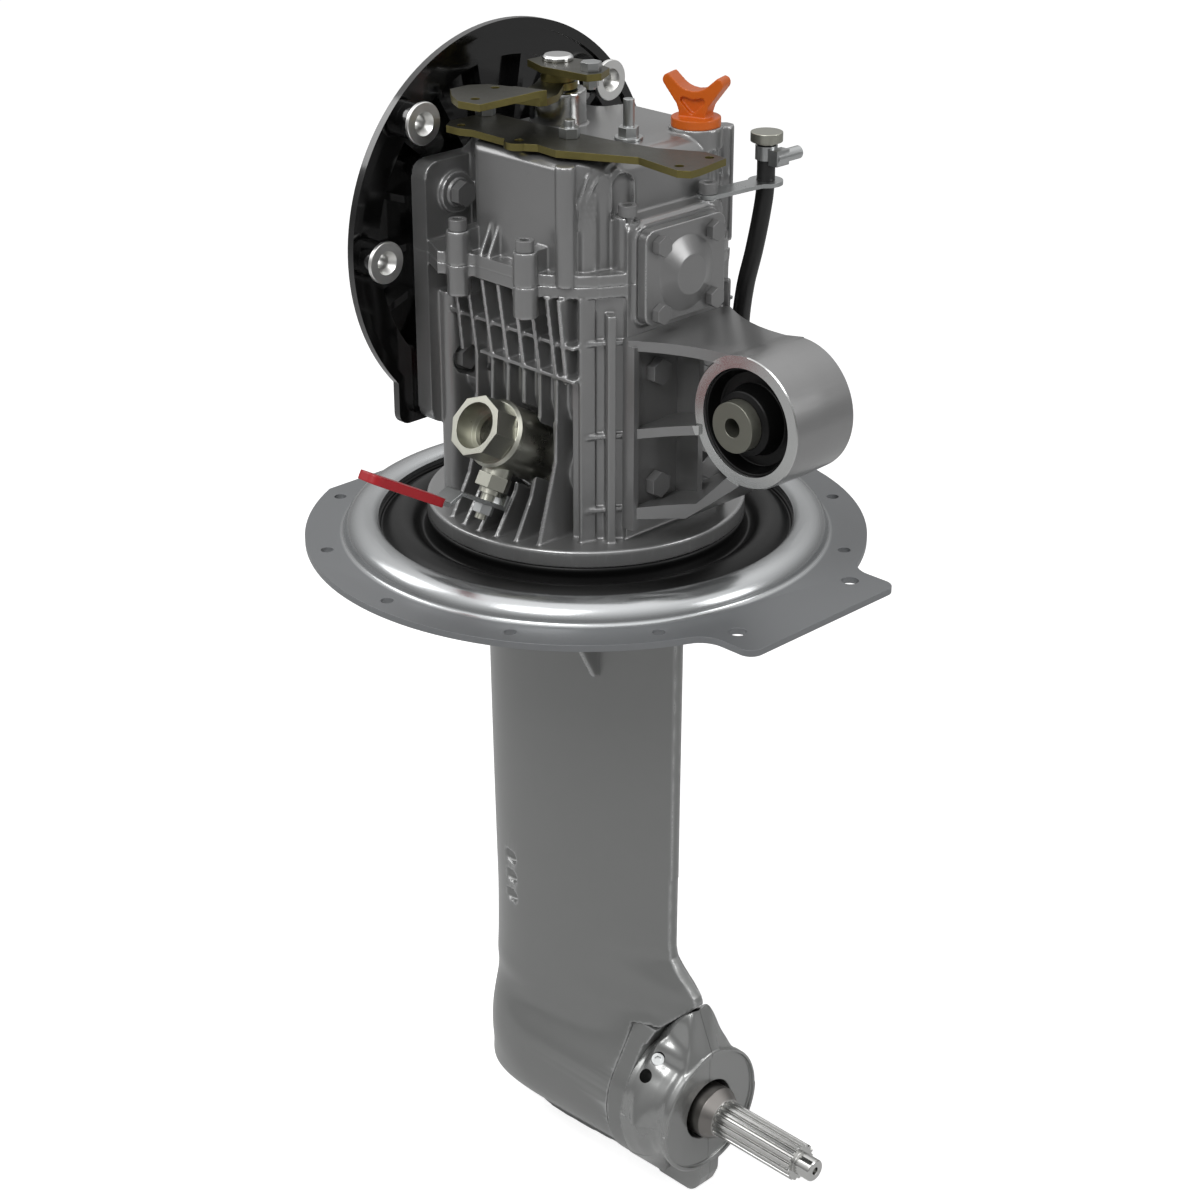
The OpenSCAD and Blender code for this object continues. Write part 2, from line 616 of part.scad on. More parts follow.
// Raised seat of the rear cover, above (1) or below (-1) the casing joint
module cover_seat(side) cross_plate(aft_x - 1, cover_seat_t + 1) intersection() {
    cover_plate(2);
    translate([-60, side > 0 ? axis_z : axis_z - 60]) square([120, 60]);
}
module cover_bolt_holes() for (s = [-1, 1], z = cover_bolt_z)
    along_x(aft_x - 18, s * cover_bolt_y, z) cylinder(r = cover_bolt_r, h = 60);
module rear_cover() color("gray") difference() {
    union() {
        cross_plate(aft_x + cover_seat_t, cover_t) cover_plate(0);
        along_x(aft_x + cover_seat_t + cover_t - 1, 0, axis_z + 1) rotate_extrude()
            polygon([[0, 0], [26, 0], [26, 1.5], [14, 7], [0, 7]]);
    }
    cover_bolt_holes();
}
module rear_cover_bolts() color("gray") for (s = [-1, 1], z = cover_bolt_z)
    along_x(aft_x + cover_seat_t + cover_t, s * cover_bolt_y, z) {
        hexagon(13, 6);
        translate([0, 0, -24]) cylinder(r = cover_bolt_r, h = 25);
    }

// Screws of the casing joint and bolts of the front flange

module cap_screw(r, head_r, head_h, length, key) difference() {
    union() {
        cylinder(r = head_r, h = head_h);
        translate([0, 0, -length]) cylinder(r = r, h = length + 1);
    }
    translate([0, 0, head_h / 2]) hexagon(key, head_h);
}
module split_screws() color("silver") both_sides() {
    for (i = [0, 1]) translate([screw_x[i], screw_y[i], axis_z + screw_top]) cap_screw(screw_r, 6.5, 8, 44, 6);
    translate([aft_screw_x, aft_screw_y, block_top + aft_screw_top]) cap_screw(screw_r, 6.5, 8, 60, 6);
}
module adapter_bolts() color("gray") for (s = [-1, 1], z = front_bolt_z)
    along_x(-front_x + front_t + front_pad_t, s * front_bolt_y, z) {
        cylinder(r1 = 11, r2 = 10, h = 2);
        hexagon(16, 9);
        translate([0, 0, -32]) cylinder(r = front_bolt_r, h = 33);
    }

// Engine adapter

rim_t = 6;
rim_w = 7;
step_t = 3;
deep_in = 21;
web_t = 6;
adapter_low = front_foot;
boss_r = 10;
bushing_x = -65;
bushing_places = [for (a = [0, 45, 135, 180]) engine_bolt_r * [cos(a), sin(a)]];
module adapter_outline(inset) difference() {
    union() {
        circle(adapter_r - inset, $fn = 180);
        translate([0, (adapter_low - axis_z) / 2]) polygon(round_box(foot_y - inset,
            (axis_z - adapter_low) / 2 - inset, 9));
    }
    // Straight below the foot
    translate([-200, adapter_low - axis_z - 100 + inset]) square([400, 100]);
}
module adapter_plate(ahead, t) translate([0, 0, axis_z]) cross_plate(-front_x - ahead, t) children();
module engine_adapter() color("black") difference() {
    union() {
        // Rim round a deeper web
        adapter_plate(rim_t, rim_t) difference() {
            adapter_outline(0);
            adapter_outline(rim_w);
        }
        adapter_plate(rim_t, step_t) difference() {
            adapter_outline(rim_w - 1);
            adapter_outline(deep_in + 4);
        }
        adapter_plate(adapter_depth, adapter_depth - step_t) difference() {
            adapter_outline(deep_in);
            adapter_outline(deep_in + 5);
        }
        adapter_plate(adapter_depth, web_t) adapter_outline(deep_in + 2);
        // Seat of the casing's front flange
        adapter_plate(adapter_depth, adapter_depth) translate([0, (front_top + front_foot) / 2 - axis_z])
            polygon(round_box(front_y, (front_top - front_foot) / 2, front_round));
        for (p = bushing_places) along_x(-front_x - rim_t, p[0], axis_z + p[1])
            cylinder(r = boss_r + 3, h = front_x + rim_t + bushing_x - bushing_flange_t);
        // Radial ribs of the web
        intersection() {
            adapter_plate(adapter_depth, adapter_depth - 4)
                for (a = [-40:20:220]) rotate(a) translate([60, -2.5]) square([adapter_r - 64, 5]);
            adapter_plate(adapter_depth, adapter_depth) adapter_outline(deep_in + 2);
        }
    }
    along_x(-200, 0, axis_z) cylinder(r = input_seal_r + 14, h = 200);
    for (p = bushing_places) along_x(-200, p[0], axis_z + p[1]) cylinder(r = boss_r, h = 200);
    for (s = [-1, 1], z = front_bolt_z)
        along_x(-200, s * front_bolt_y, z) cylinder(r = front_bolt_r, h = 200);
}
bushing_flange_t = 3;
bushing_flange_r = 15;
bushing_l = 20;
module adapter_bushings() color("silver") for (p = bushing_places)
    along_x(bushing_x, p[0], axis_z + p[1]) rotate_extrude() polygon(
        [[bushing_bore / 2, -bushing_l], [boss_r, -bushing_l], [boss_r, -bushing_flange_t],
            [bushing_flange_r, -bushing_flange_t], [bushing_flange_r, 0], [8.5, 0], [bushing_bore / 2, -5]]);

// Rear mount: bracket, rubber and sleeve

plate_x = aft_x + gap;
back_plate_t = 5.5;
back_half = 51.6;
back_low = 44;
back_high = 183;
web_arm_t = 6;
bracket_bolt_y = 25;
bracket_bolt_z = [72, 156];
bracket_bolt_r = 5;
module bracket_bolt_holes() for (s = [-1, 1], z = bracket_bolt_z)
    along_x(aft_x - 25, s * bracket_bolt_y, z) cylinder(r = bracket_bolt_r, h = 60);
// Taper of the arms from the plate to the barrel, seen from above
module arm_plan() linear_extrude(300) polygon(mirrored(concat([[plate_x, back_half]],
    [for (i = [0:6]) let (t = i / 6) [plate_x + back_plate_t + (barrel_x - plate_x - back_plate_t - 20) * t,
        back_half - (back_half - barrel_half) * (1 - pow(1 - t, 2))]], [[barrel_x, barrel_half]])));
module mount_bracket() color("gray") difference() {
    union() {
        cross_plate(plate_x, back_plate_t) translate([-back_half, back_low]) square([2 * back_half, back_high - back_low]);
        along_y(barrel_x, -barrel_half, barrel_z) rotate_extrude($fn = 120) polygon([[0, 0], [barrel_r - 1.6, 0],
            [barrel_r - 0.8, 0.8], [barrel_r, barrel_half], [barrel_r - 0.8, 2 * barrel_half - 0.8],
            [barrel_r - 1.6, 2 * barrel_half], [0, 2 * barrel_half]]);
        intersection() {
            arm_plan();
            side_plate(0, 200) {
                polygon([[plate_x, back_high], [plate_x, back_high - web_arm_t - 1],
                    [barrel_x - 22, barrel_z + 36], [barrel_x, barrel_z + 44],
                    [barrel_x, barrel_z + barrel_r - 0.5], [barrel_x - 16, barrel_z + barrel_r - 3]]);
                polygon([[plate_x, 117], [plate_x, 110], [barrel_x - 40, 122], [barrel_x - 40, 129]]);
                polygon([[plate_x, back_low + 14], [plate_x, back_low + 6], [132, 58], [barrel_x - 4, barrel_z - barrel_r + 0.4],
                    [barrel_x - 10, barrel_z - barrel_r + 9], [140, 71]]);
            }
        }
        // Upright rib between the arms
        translate([plate_x, -2.5, back_low + 8]) cube([26, 5, back_high - back_low - 12]);
        both_sides() translate([plate_x, back_half - 5, back_low]) cube([11, 5, back_high - back_low - 4]);
    }
    along_y(barrel_x, -100, barrel_z) cylinder(r = barrel_bore_r, h = 200, $fn = 120);
    bracket_bolt_holes();
}
module bracket_bolts() color("gray") for (s = [-1, 1], z = bracket_bolt_z)
    along_x(plate_x + back_plate_t, s * bracket_bolt_y, z) {
        hexagon(17, 7.5);
        translate([0, 0, -24]) cylinder(r = bracket_bolt_r, h = 25);
    }
module bush_rubber() color("black") along_y(barrel_x, 0, barrel_z) rotate_extrude($fn = 120) polygon(
    [[sleeve_r, -barrel_half - 4], [sleeve_r + 5, -barrel_half - 2], [sleeve_r + 7, -barrel_half + 12],
        [barrel_bore_r - 5, -barrel_half + 12], [barrel_bore_r - 2, -barrel_half + 2], [barrel_bore_r, -barrel_half + 2],
        [barrel_bore_r, barrel_half - 2], [barrel_bore_r - 2, barrel_half - 2], [barrel_bore_r - 5, barrel_half - 12],
        [sleeve_r + 7, barrel_half - 12], [sleeve_r + 5, barrel_half + 2], [sleeve_r, barrel_half + 4]]);
module bush_sleeve() color("gray") along_y(barrel_x, -sleeve_half, barrel_z) tube(sleeve_r, sleeve_bore / 2, 2 * sleeve_half);

// Leg: level sections, each a foil whose lower part swells into the gear case

nose_mid = -30;
case_mid = -20;
section_n = 15;
flare_from = 330;
flare_to = 367;
flare_x = 128;
leg_levels = [6, 60, 130, 200, 270, 320, 334, 343, 352, 360, 367, 376, 385, 396, 408, 420, 434, 446];
keel_shares = [0, 0.14, 0.28, 0.42, 0.55, 0.67, 0.78, 0.87, 0.94, 1];

function ease(t) = let (u = min(1, max(0, t))) u * u * (3 - 2 * u);
function pos(x) = max(0, x);
// Half width of the gear case's section, d above or below the shaft
function case_half(d) = d >= 0
    ? (d < 32 ? sqrt(pow(case_r, 2) - d * d) : max(4, 43.5 - case_slope * (d - 32)))
    : (d > -42 ? case_r - 10.6 * pow(-d / 42, 2.2) : max(1.5, case_r - 10.6 - 0.95 * (-d - 42)));
case_slope = 0.62;
function leg_taper(depth) = 1.03 - 0.07 * min(1, depth / flare_from);
function lead_at(depth) = lead_x + 2.1 - 4.4 * pow(min(1, depth / flare_from), 2)
    + 2.2 * ease((depth - flare_from) / 100);
// Half thickness of the foil part of a section
function foil(x, depth) = x < nose_mid
    ? leg_half * leg_taper(depth) * sqrt(pos(1 - pow((nose_mid - x) / (nose_mid + lead_at(depth)), 2)))
    : trail_half + (leg_half * leg_taper(depth) - trail_half) * pos(1 - pow((x - nose_mid) / (trail_at(depth) - nose_mid), 1.9));
function trail_at(depth) = trail_x - 2.5 * depth / flare_from
    + (flare_x - trail_x) * ease((depth - flare_from) / (flare_to - flare_from));
// Roundness of the gear case's nose that ends at front, as a share of its half width
function case_nose(x, front, power) = x < case_mid
    ? pow(pos(1 - pow((case_mid - x) / (case_mid - front), power)), 1 / power) : 1;
function case_tail(x) = 1 - ease((x - case_x - 2) / 60) * 0.9;
function blend4(a, b) = pow(pow(a, 4) + pow(b, 4), 0.25);
// One section above the shaft: [x, half width] from the nose to the trailing edge
function upper_section(depth) = let (front = -lead_at(depth), back = trail_at(depth))
    [for (i = [0:section_n]) let (t = pow(i / section_n, 1.7), x = front + (back - front) * t)
        [x, i == 0 ? 0 : blend4(foil(x, depth) * (1 - ease((depth - 395) / 50)), depth < 360 ? 0 :
            ease((depth - 360) / 30) * case_half(prop_depth - depth) * case_nose(x, front, 2) * case_tail(x)), -depth]];
// One section below the shaft, on a level that follows the keel line
function keel_at(x) = keel - 6 * ease((x + 30) / 110);
function lower_section(share) = let (front = -lead_at(prop_depth) + 52 * pow(share, 10),
        power = 2 + 0.6 * ease((share - 0.22) / 0.33))
    [for (i = [0:section_n]) let (t = pow(i / section_n, 1.7), x = front + (flare_x - front) * t, d = keel_at(x) * share)
        [x, i == 0 ? 0 : max(0.8, case_half(-share * keel) * case_nose(x, front, power)), -prop_depth - d]];
leg_sections = concat([for (d = leg_levels) upper_section(d)], [for (s = keel_shares) lower_section(s)]);

// Closed skin over sections that each run from nose to tail and back
module skin(sections) {
    rows = len(sections);
    m = len(sections[0]) - 1;
    ring = 2 * m + 1;
    pts = [for (s = sections) each concat([for (i = [m:-1:1]) [s[i][0], -s[i][1], s[i][2]]],
        [for (p = s) [p[0], p[1], p[2]]])];
    function at(r, k) = r * ring + (k % ring);
    sides = [for (r = [0:rows - 2], k = [0:ring - 1]) each
        [[at(r, k + 1), at(r, k), at(r + 1, k)], [at(r + 1, k + 1), at(r, k + 1), at(r + 1, k)]]];
    lid = [for (k = [0:m - 2]) each [[ring - 1 - k, k, ring - 2 - k], [ring - 2 - k, k, k + 1]]];
    ends = concat(lid, [[m + 1, m - 1, m]]);
    base = (rows - 1) * ring;
    polyhedron(pts, concat(sides, ends, [for (f = ends) [f[0] + base, f[2] + base, f[1] + base]]));
}
leg_bearing_r = 26;
leg_bearing_z = -prop_depth + 64;
leg_bearing_t = 16;
case_chamber_r = 44;
front_bearing_x = -60;
module leg_casting() color("gray") difference() {
    union() {
        skin(leg_sections);
        // Flange under the casing, with a lip below the rubber's inner bead
        rotate_extrude() polygon([[0, -12], [60, -12], [leg_flange_r, -2], [base_r - 2, 0],
            [base_r - 2, bead_low - gap / 2], [leg_flange_r - gap / 2, bead_low - gap / 2],
            [leg_flange_r - gap / 2, leg_joint_z], [0, leg_joint_z]]);
        both_sides() {
            side_rib(40, 4, [[20, -2], [84, -2], [34, -98], [20, -98]]);
            side_rib(-46, 4, [[20, -2], [84, -2], [38, -90], [30, -112], [20, -112]]);
        }
    }
    translate([0, 0, -prop_depth]) cylinder(r = shaft_way_r, h = prop_depth + 40);
    translate([0, 0, leg_bearing_z - 60]) cylinder(r = leg_bearing_r, h = leg_bearing_t + 60);
    on_shaft(front_bearing_x - 0.5) cylinder(r = front_bearing_r, h = 40);
    on_shaft(-case_chamber_r + 14) cylinder(r = case_chamber_r, h = 200);
    // Room for the carrier and the anode
    translate([case_x, -100, -prop_depth - 200]) cube([200, 200, 200 + 66]);
    translate([0, 100, 0]) rotate([90, 0, 0]) linear_extrude(200) polygon(
        [[99, -prop_depth + 66], [140, -prop_depth + 107], [200, -prop_depth + 107], [200, -600], [99, -600]]);
    for (i = [0:2]) slot(-291 - 18 * i);
    leg_bolt_places() {
        translate([0, 0, -40]) cylinder(r = leg_screw_r + 0.3, h = 80);
        translate([0, 0, leg_head_z - 40]) cylinder(r = 7.2, h = 40);
    }
}
// Scoop of the cooling-water intake, both sides: a ramp from the nose to a round end
module slot(z) both_sides() translate([-49, 30.4, z]) rotate([0, 0, -9]) {
    rotate([-90, 0, 0]) cylinder(r = slot_r, h = 14);
    translate([-17, 0, -slot_r]) cube([17, 14, 2 * slot_r]);
}
slot_r = 5.5;

module on_shaft(x) along_x(x, 0, -prop_depth) children();

// Propeller shaft, its bearings, carrier and anode

front_bearing_r = 26;
front_bearing_t = 14;
neck_r = 12.5;
shaft_r = 17.5;
rear_bearing_r = 36;
rear_bearing_t = 17;
prop_seal_r = 30;
spline_from = 154;
module prop_shaft() color("silver") {
    on_shaft(0) rotate_extrude() polygon([[0, front_bearing_x], [neck_r, front_bearing_x],
        [neck_r, front_bearing_x + front_bearing_t + 1], [15, front_bearing_x + front_bearing_t + 2], [15, 12],
        [shaft_r, 13], [shaft_r, case_x], [seal_r, case_x + 1.5], [seal_r, spline_from - 9],
        [spline_r + 0.8, spline_from], [spline_r - 2, spline_from], [spline_r - 2, spline_end], [stub_r, spline_end],
        [stub_r, spline_end + stub_l - 1], [stub_r - 1, spline_end + stub_l], [3, spline_end + stub_l],
        [3, spline_end + stub_l - 6], [0, spline_end + stub_l - 8]]);
    on_shaft(spline_from - 1) linear_extrude(spline_end - spline_from + 1) spline_outline();
}
spline_root = spline_r - 1.9;
module spline_outline() polygon([for (i = [0:spline_teeth - 1]) let (a = 360 / spline_teeth, c = i * a) each
    [for (q = [[spline_root, -0.32], [spline_r, -0.22], [spline_r, 0.22], [spline_root, 0.32]])
        q[0] * [cos(c + q[1] * a), sin(c + q[1] * a)]]]);
module prop_bearings() color("silver") {
    on_shaft(front_bearing_x) tube(front_bearing_r - run, neck_r + run, front_bearing_t);
    on_shaft(case_x - 18) tube(rear_bearing_r - run, shaft_r + run, rear_bearing_t);
}
module prop_seal() color("black") on_shaft(case_x + 3) tube(prop_seal_r - run, seal_r + run, 10);
// Section of the gear case at its aft face, d above the shaft, starboard half
function case_edge(heights, shrink, least) = mirrored_yz([for (d = heights) [max(case_half(d) - shrink, least), d]]);
module bearing_carrier() color("gray") difference() {
    union() {
        intersection() {
            translate([0, 0, -prop_depth]) cross_plate(case_x + gap, carrier_t + 7 - gap)
                polygon(case_edge([case_top - gap, 40, 31, 20, 10, 0, -10, -20, -30, -42, 8 - keel, 6 - keel], 0.4, 1.5));
            side_plate(0, 200) polygon([for (q = [[case_x, -keel], [seam_x, -keel], [seam_x, seam_top],
                [seam_x + 3, seam_top], [seam_x + 7, case_top], [case_x, case_top]]) [q[0], q[1] - prop_depth]]);
        }
        on_shaft(case_x - 20) cylinder(r = case_chamber_r - run, h = 21);
    }
    on_shaft(case_x - 30) cylinder(r = rear_bearing_r, h = 30);
    on_shaft(case_x - 30) cylinder(r = prop_seal_r, h = 44);
    on_shaft(case_x - 30) cylinder(r = seal_r + 2, h = 80);
    anode_screws_at(case_x) cylinder(r = 3, h = 40);
}
module anode_screws_at(x) for (s = [-1, 1]) along_x(x, s * 30, -prop_depth + 34) children();
seam_x = case_x + carrier_t;
seam_top = case_r;
case_top = 66;
anode_from = seam_x + gap;
anode_end = anode_from + anode_l;
lug_top = 91.5;
lug_low = keel - 8;
// Radius of the anode's waist, t behind its front
function anode_waist(t) = case_r - 0.7 - 3.8 * ease((t - 14) / 14) + (anode_r - case_r + 4.5) * ease((t - 33) / 12);
// The lugs' side view, from the anode's front and the shaft
lug_outline = [[0, seam_top - gap], [3, seam_top - gap], [7, case_top - gap], [33, lug_top], [39, lug_top], [42, 80],
    [44.5, 62], [anode_l, anode_r], [anode_l, -anode_r], [44.5, -60], [38, -72], [29, -80], [18, -lug_low],
    [0, -lug_low - 1]];
module anode_whole() difference() {
    union() {
        on_shaft(anode_from) rotate_extrude() polygon(concat([[0, 0]],
            [for (t = [0, 8, 14, 18, 22, 27, 33, 37, 41, 44, anode_l]) [anode_waist(t), t]], [[0, anode_l]]));
        intersection() {
            translate([0, 0, -prop_depth]) cross_plate(anode_from, anode_l) polygon(case_edge(
                [lug_top, 78, case_top, 50, 41, 32, 20, 0, -20, -32, -42, -52, -62, -72, -lug_low], 1.2, 5));
            translate([anode_from, 0, -prop_depth]) side_plate(0, 200) polygon(lug_outline);
        }
    }
    on_shaft(0) cylinder(r = anode_hole_r, h = 300);
    on_shaft(anode_end - 5) cylinder(r = anode_r - 2.5, h = 10);
    anode_screws_at(0) cylinder(r = 3, h = 110);
    anode_screws_at(anode_from + 14) cylinder(r = 6, h = 60);
}
module anode_half(s) intersection() {
    anode_whole();
    translate([0, s > 0 ? gap / 2 : -gap / 2 - 100, -prop_depth - 150]) cube([300, 100, 300]);
}
module anode_port() color("silver") anode_half(-1);
module anode_starboard() color("silver") anode_half(1);
module anode_screws() color("silver") anode_screws_at(anode_from + 14)
    cap_screw(3 - run, 5, 6, 24, 5);

// Bevel gears: the teeth of a gear lie on a cone and shrink towards its apex

function inv_angle(base, r) = let (t = sqrt(pow(r / base, 2) - 1)) t * 180 / PI - atan(t);
// Half angle of a virtual tooth at radius r
function tooth_half(pitch, base, r, thin) = 90 * thin / pitch[1]
    + inv_angle(base, pitch[0]) - (r > base ? inv_angle(base, r) : 0);
pressure = 20;
function bevel_outline(teeth, cone, pitch_r, mod, thin, phase) = let (
    back_r = pitch_r / cos(cone), virtual = teeth / cos(cone), base = back_r * cos(pressure),
    apex = pitch_r / sin(cone) / cos(cone), plane = pitch_r / tan(cone),
    radii = [back_r - 1.2 * mod, back_r - 0.6 * mod, back_r, back_r + 0.5 * mod, back_r + 0.9 * mod],
    flank = [for (r = radii) let (half = tooth_half([back_r, virtual], base, max(r, base), thin) / cos(cone),
        height = apex - r * sin(cone)) [r * cos(cone) * plane / height, half]])
    [for (i = [0:teeth - 1]) let (mid = 360 / teeth * (i + phase)) each concat(
        [for (f = flank) f[0] * [cos(mid - f[1]), sin(mid - f[1])]],
        [for (k = [4:-1:0]) let (f = flank[k]) f[0] * [cos(mid + f[1]), sin(mid + f[1])]])];
// Teeth from the large end at z = 0 towards the apex
module bevel_teeth(teeth, cone, pitch_r, mod, face, phase) {
    plane = pitch_r / tan(cone);
    depth = face * cos(cone);
    mirror([0, 0, 1]) linear_extrude(depth, scale = (plane - depth) / plane)
        polygon(bevel_outline(teeth, cone, pitch_r, mod, 0.94, phase));
}
upper_face = 13;
module clutch_gear() {
    // Drawn with its apex at the origin and its back towards +Z
    back = in_pitch_r;
    difference() {
        union() {
            translate([0, 0, back]) bevel_teeth(clutch_teeth, 90 - cone_in, clutch_pitch_r, upper_mod, upper_face, 0);
            translate([0, 0, back]) cylinder(r = clutch_pitch_r - 4, h = 6);
            translate([0, 0, collar_from]) cylinder(r = 21.5, h = back - collar_from);
            translate([0, 0, back]) cylinder(r = 25 - run, h = 19);
        }
        translate([0, 0, -1]) cylinder(r = upright_r + run, h = 100);
        translate([0, 0, collar_from - 0.01]) cylinder(r1 = cone_big + 0.05, r2 = cone_big - 3.25, h = 13.3);
    }
}
collar_from = 6 + clutch_travel + 0.2;
cone_big = 17.5;
module astern_gear() color("tan") translate([0, 0, axis_z]) rotate(180) clutch_gear();
module ahead_gear() color("tan") translate([0, 0, axis_z]) mirror([0, 0, 1]) rotate(180) clutch_gear();
module gear_bearings() color("silver") for (s = [-1, 1]) translate([0, 0, axis_z])
    mirror([0, 0, s > 0 ? 0 : 1]) translate([0, 0, chamber_h + 0.5]) tube(gear_bearing_r - run, 25, gear_bearing_t);
module input_pinion() color("tan") along_x(0, 0, axis_z) mirror([0, 0, 1]) difference() {
    union() {
        translate([0, 0, clutch_pitch_r]) bevel_teeth(input_teeth, cone_in, in_pitch_r, upper_mod, upper_face, 0.5);
        translate([0, 0, clutch_pitch_r - 0.01]) cylinder(r = in_pitch_r - 6, h = 9);
    }
    translate([0, 0, -1]) cylinder(r = input_r + 0.01, h = 100);
}
input_r = 15;
input_front = -126;
module input_shaft() color("silver") along_x(0, 0, axis_z) difference() {
    union() {
        translate([0, 0, input_front + 24]) cylinder(r = input_r, h = -input_front - 24 - clutch_pitch_r + 9);
        translate([0, 0, input_front]) linear_extrude(26) polygon([for (i = [0:19]) let (c = i * 18) each
            [for (q = [[12.2, -6], [13.6, -4.5], [13.6, 4.5], [12.2, 6]]) q[0] * [cos(c + q[1]), sin(c + q[1])]]]);
    }
}
module input_bearings() color("silver") along_x(-input_bearing_from + 0.5, 0, axis_z)
    tube(input_bearing_r - run, input_r + run, input_bearing_t);
module input_seal() color("black") along_x(-front_x + 0.5, 0, axis_z) tube(input_seal_r - run, input_r + run, 8);

module vertical_shaft() color("silver") translate([0, 0, -prop_depth + 26])
    cylinder(r = upright_r, h = prop_depth - 26 + top_bearing_z + top_bearing_t - 0.5);
module shaft_bearings() color("silver") {
    translate([0, 0, top_bearing_z]) tube(top_bearing_r - run, upright_r + run, top_bearing_t - 0.5);
    translate([0, 0, low_bearing_z + 0.2]) tube(low_bearing_r - run, upright_r + run, low_bearing_t);
    translate([0, 0, leg_bearing_z]) tube(leg_bearing_r - run, upright_r + run, leg_bearing_t);
}
cone_low = atan(pinion_teeth / prop_teeth);
pinion_pitch_r = lower_mod * pinion_teeth / 2;
prop_pitch_r = lower_mod * prop_teeth / 2;
lower_face = 16;
module lower_pinion() color("tan") translate([0, 0, -prop_depth]) difference() {
    union() {
        translate([0, 0, prop_pitch_r]) bevel_teeth(pinion_teeth, cone_low, pinion_pitch_r, lower_mod, lower_face, 0.5);
        translate([0, 0, prop_pitch_r - 0.01]) cylinder(r = pinion_pitch_r - 4, h = 64 - prop_pitch_r - 0.3);
    }
    cylinder(r = upright_r + 0.01, h = 100);
}
module prop_gear() color("tan") on_shaft(0) difference() {
    union() {
        intersection() {
            translate([0, 0, pinion_pitch_r]) bevel_teeth(prop_teeth, 90 - cone_low, prop_pitch_r, lower_mod, lower_face, 0);
            cylinder(r = prop_pitch_r + 2.4, h = 100);
        }
        translate([0, 0, pinion_pitch_r - 0.01]) cylinder(r = 30, h = 12);
    }
    cylinder(r = shaft_r + 0.01, h = 100);
}
module clutch_cone() color("gold") translate([0, 0, axis_z]) difference() {
    rotate_extrude() polygon([[upright_r + run, -19], [cone_big - 3.25, -19], [cone_big, -6], [cone_big + 2.5, -6],
        [cone_big + 2.5, -3.6], [15.5, -3.6], [15.5, 3.6], [cone_big + 2.5, 3.6], [cone_big + 2.5, 6],
        [cone_big, 6], [cone_big - 3.25, 19], [upright_r + run, 19]]);
}
fork_t = 6.4;
module shift_fork() color("silver") {
    translate([0, 0, axis_z]) difference() {
        union() {
            translate([0, 0, -fork_t / 2]) cylinder(r = 23.5, h = fork_t);
            translate([rod_x - 5, 10, -fork_t / 2]) cube([10, rod_y - 10, fork_t]);
        }
        translate([0, 0, -10]) cylinder(r = 15.8, h = 20);
        translate([-50, -50, -10]) cube([100, 50, 20]);
    }
    translate([rod_x, rod_y, rod_low]) cylinder(r = rod_r, h = rod_top - rod_low);
    // Pin that runs in the drum's slanted slot
    reach = norm([rod_y, rod_x + shift_x]);
    translate([rod_x, rod_y, drum_low + drum_h / 2]) rotate(atan2(-rod_y, -shift_x - rod_x)) rotate([0, 90, 0]) {
        cylinder(r = 4, h = reach - drum_r - 2);
        cylinder(r = slot_pin_r, h = reach - 10.6);
    }
}
slot_pin_r = 3;

// Shift shaft, levers and cable bracket

module shift_shaft() color("silver") {
    difference() {
        union() {
            translate([-shift_x, 0, drum_low]) cylinder(r = drum_r, h = drum_h);
            translate([-shift_x, 0, drum_low]) cylinder(r = shift_r, h = top_z + neck_h + 20 - drum_low);
        }
        // Slanted slot: a chain of round cuts
        translate([-shift_x, 0, drum_low + drum_h / 2]) for (i = [-6:6])
            rotate(atan2(rod_y, rod_x + shift_x) - i * shift_angle / 6) translate([0, 0, i * clutch_travel / 6])
            rotate([0, 90, 0]) translate([0, 0, 10]) cylinder(r = slot_pin_r + 0.35, h = 10);
    }
}
lever_z = top_z + neck_h + 1;
lever_up = 6;
module shift_lever() color("tan") difference() {
    union() {
        translate([-shift_x, 0, lever_z]) cylinder(r = 14, h = plate_t);
        translate([0, 0, lever_z]) linear_extrude(plate_t)
            polygon([[-shift_x - 13, -4], [-shift_x - 2, 13], [4, -30], [8, -44], [-16, -52], [-30, -20]]);
        translate([0, 0, lever_z]) linear_extrude(plate_t + lever_up)
            polygon([[8, -44], [6, -49], [-17, -57], [-16, -52]]);
        translate([0, 0, lever_z + lever_up]) linear_extrude(plate_t)
            polygon([[6, -46], [6, -104], [-12, -107], [-26, -100], [-41, -88], [-41, -72], [-33, -60], [-17, -54]]);
    }
    translate([-shift_x, 0, lever_z - 1]) cylinder(r = shift_r + 0.01, h = 50);
    translate([-22, -64, lever_z - 1]) cylinder(r = 3.2, h = 20);
    translate([-8, -95, lever_z - 1]) cylinder(r = 3.2, h = 20);
}
lever_plate_z = lever_z + plate_t + 9;
module lever_plate() color("tan") difference() {
    union() {
        translate([0, 0, lever_plate_z]) linear_extrude(plate_t)
            polygon([[-43, -14], [-42, 8], [-10, 14], [16, 8], [24, -8], [20, -18], [-20, -22]]);
        translate([-shift_x, 0, lever_z + plate_t]) cylinder(r = 12, h = 9.5);
    }
    translate([-shift_x, 0, lever_z - 1]) cylinder(r = shift_r + 0.01, h = 50);
    translate([12, -6, lever_z]) cylinder(r = 3.5, h = 50);
}
module shaft_cap() color("silver") translate([-shift_x, 0, lever_plate_z + plate_t]) difference() {
    rotate_extrude() polygon([[0, 0], [11, 0], [11, 2.5], [9.5, 4], [0, 4]]);
    translate([0, 0, -1]) cylinder(r = shift_r + 0.01, h = 2);
}
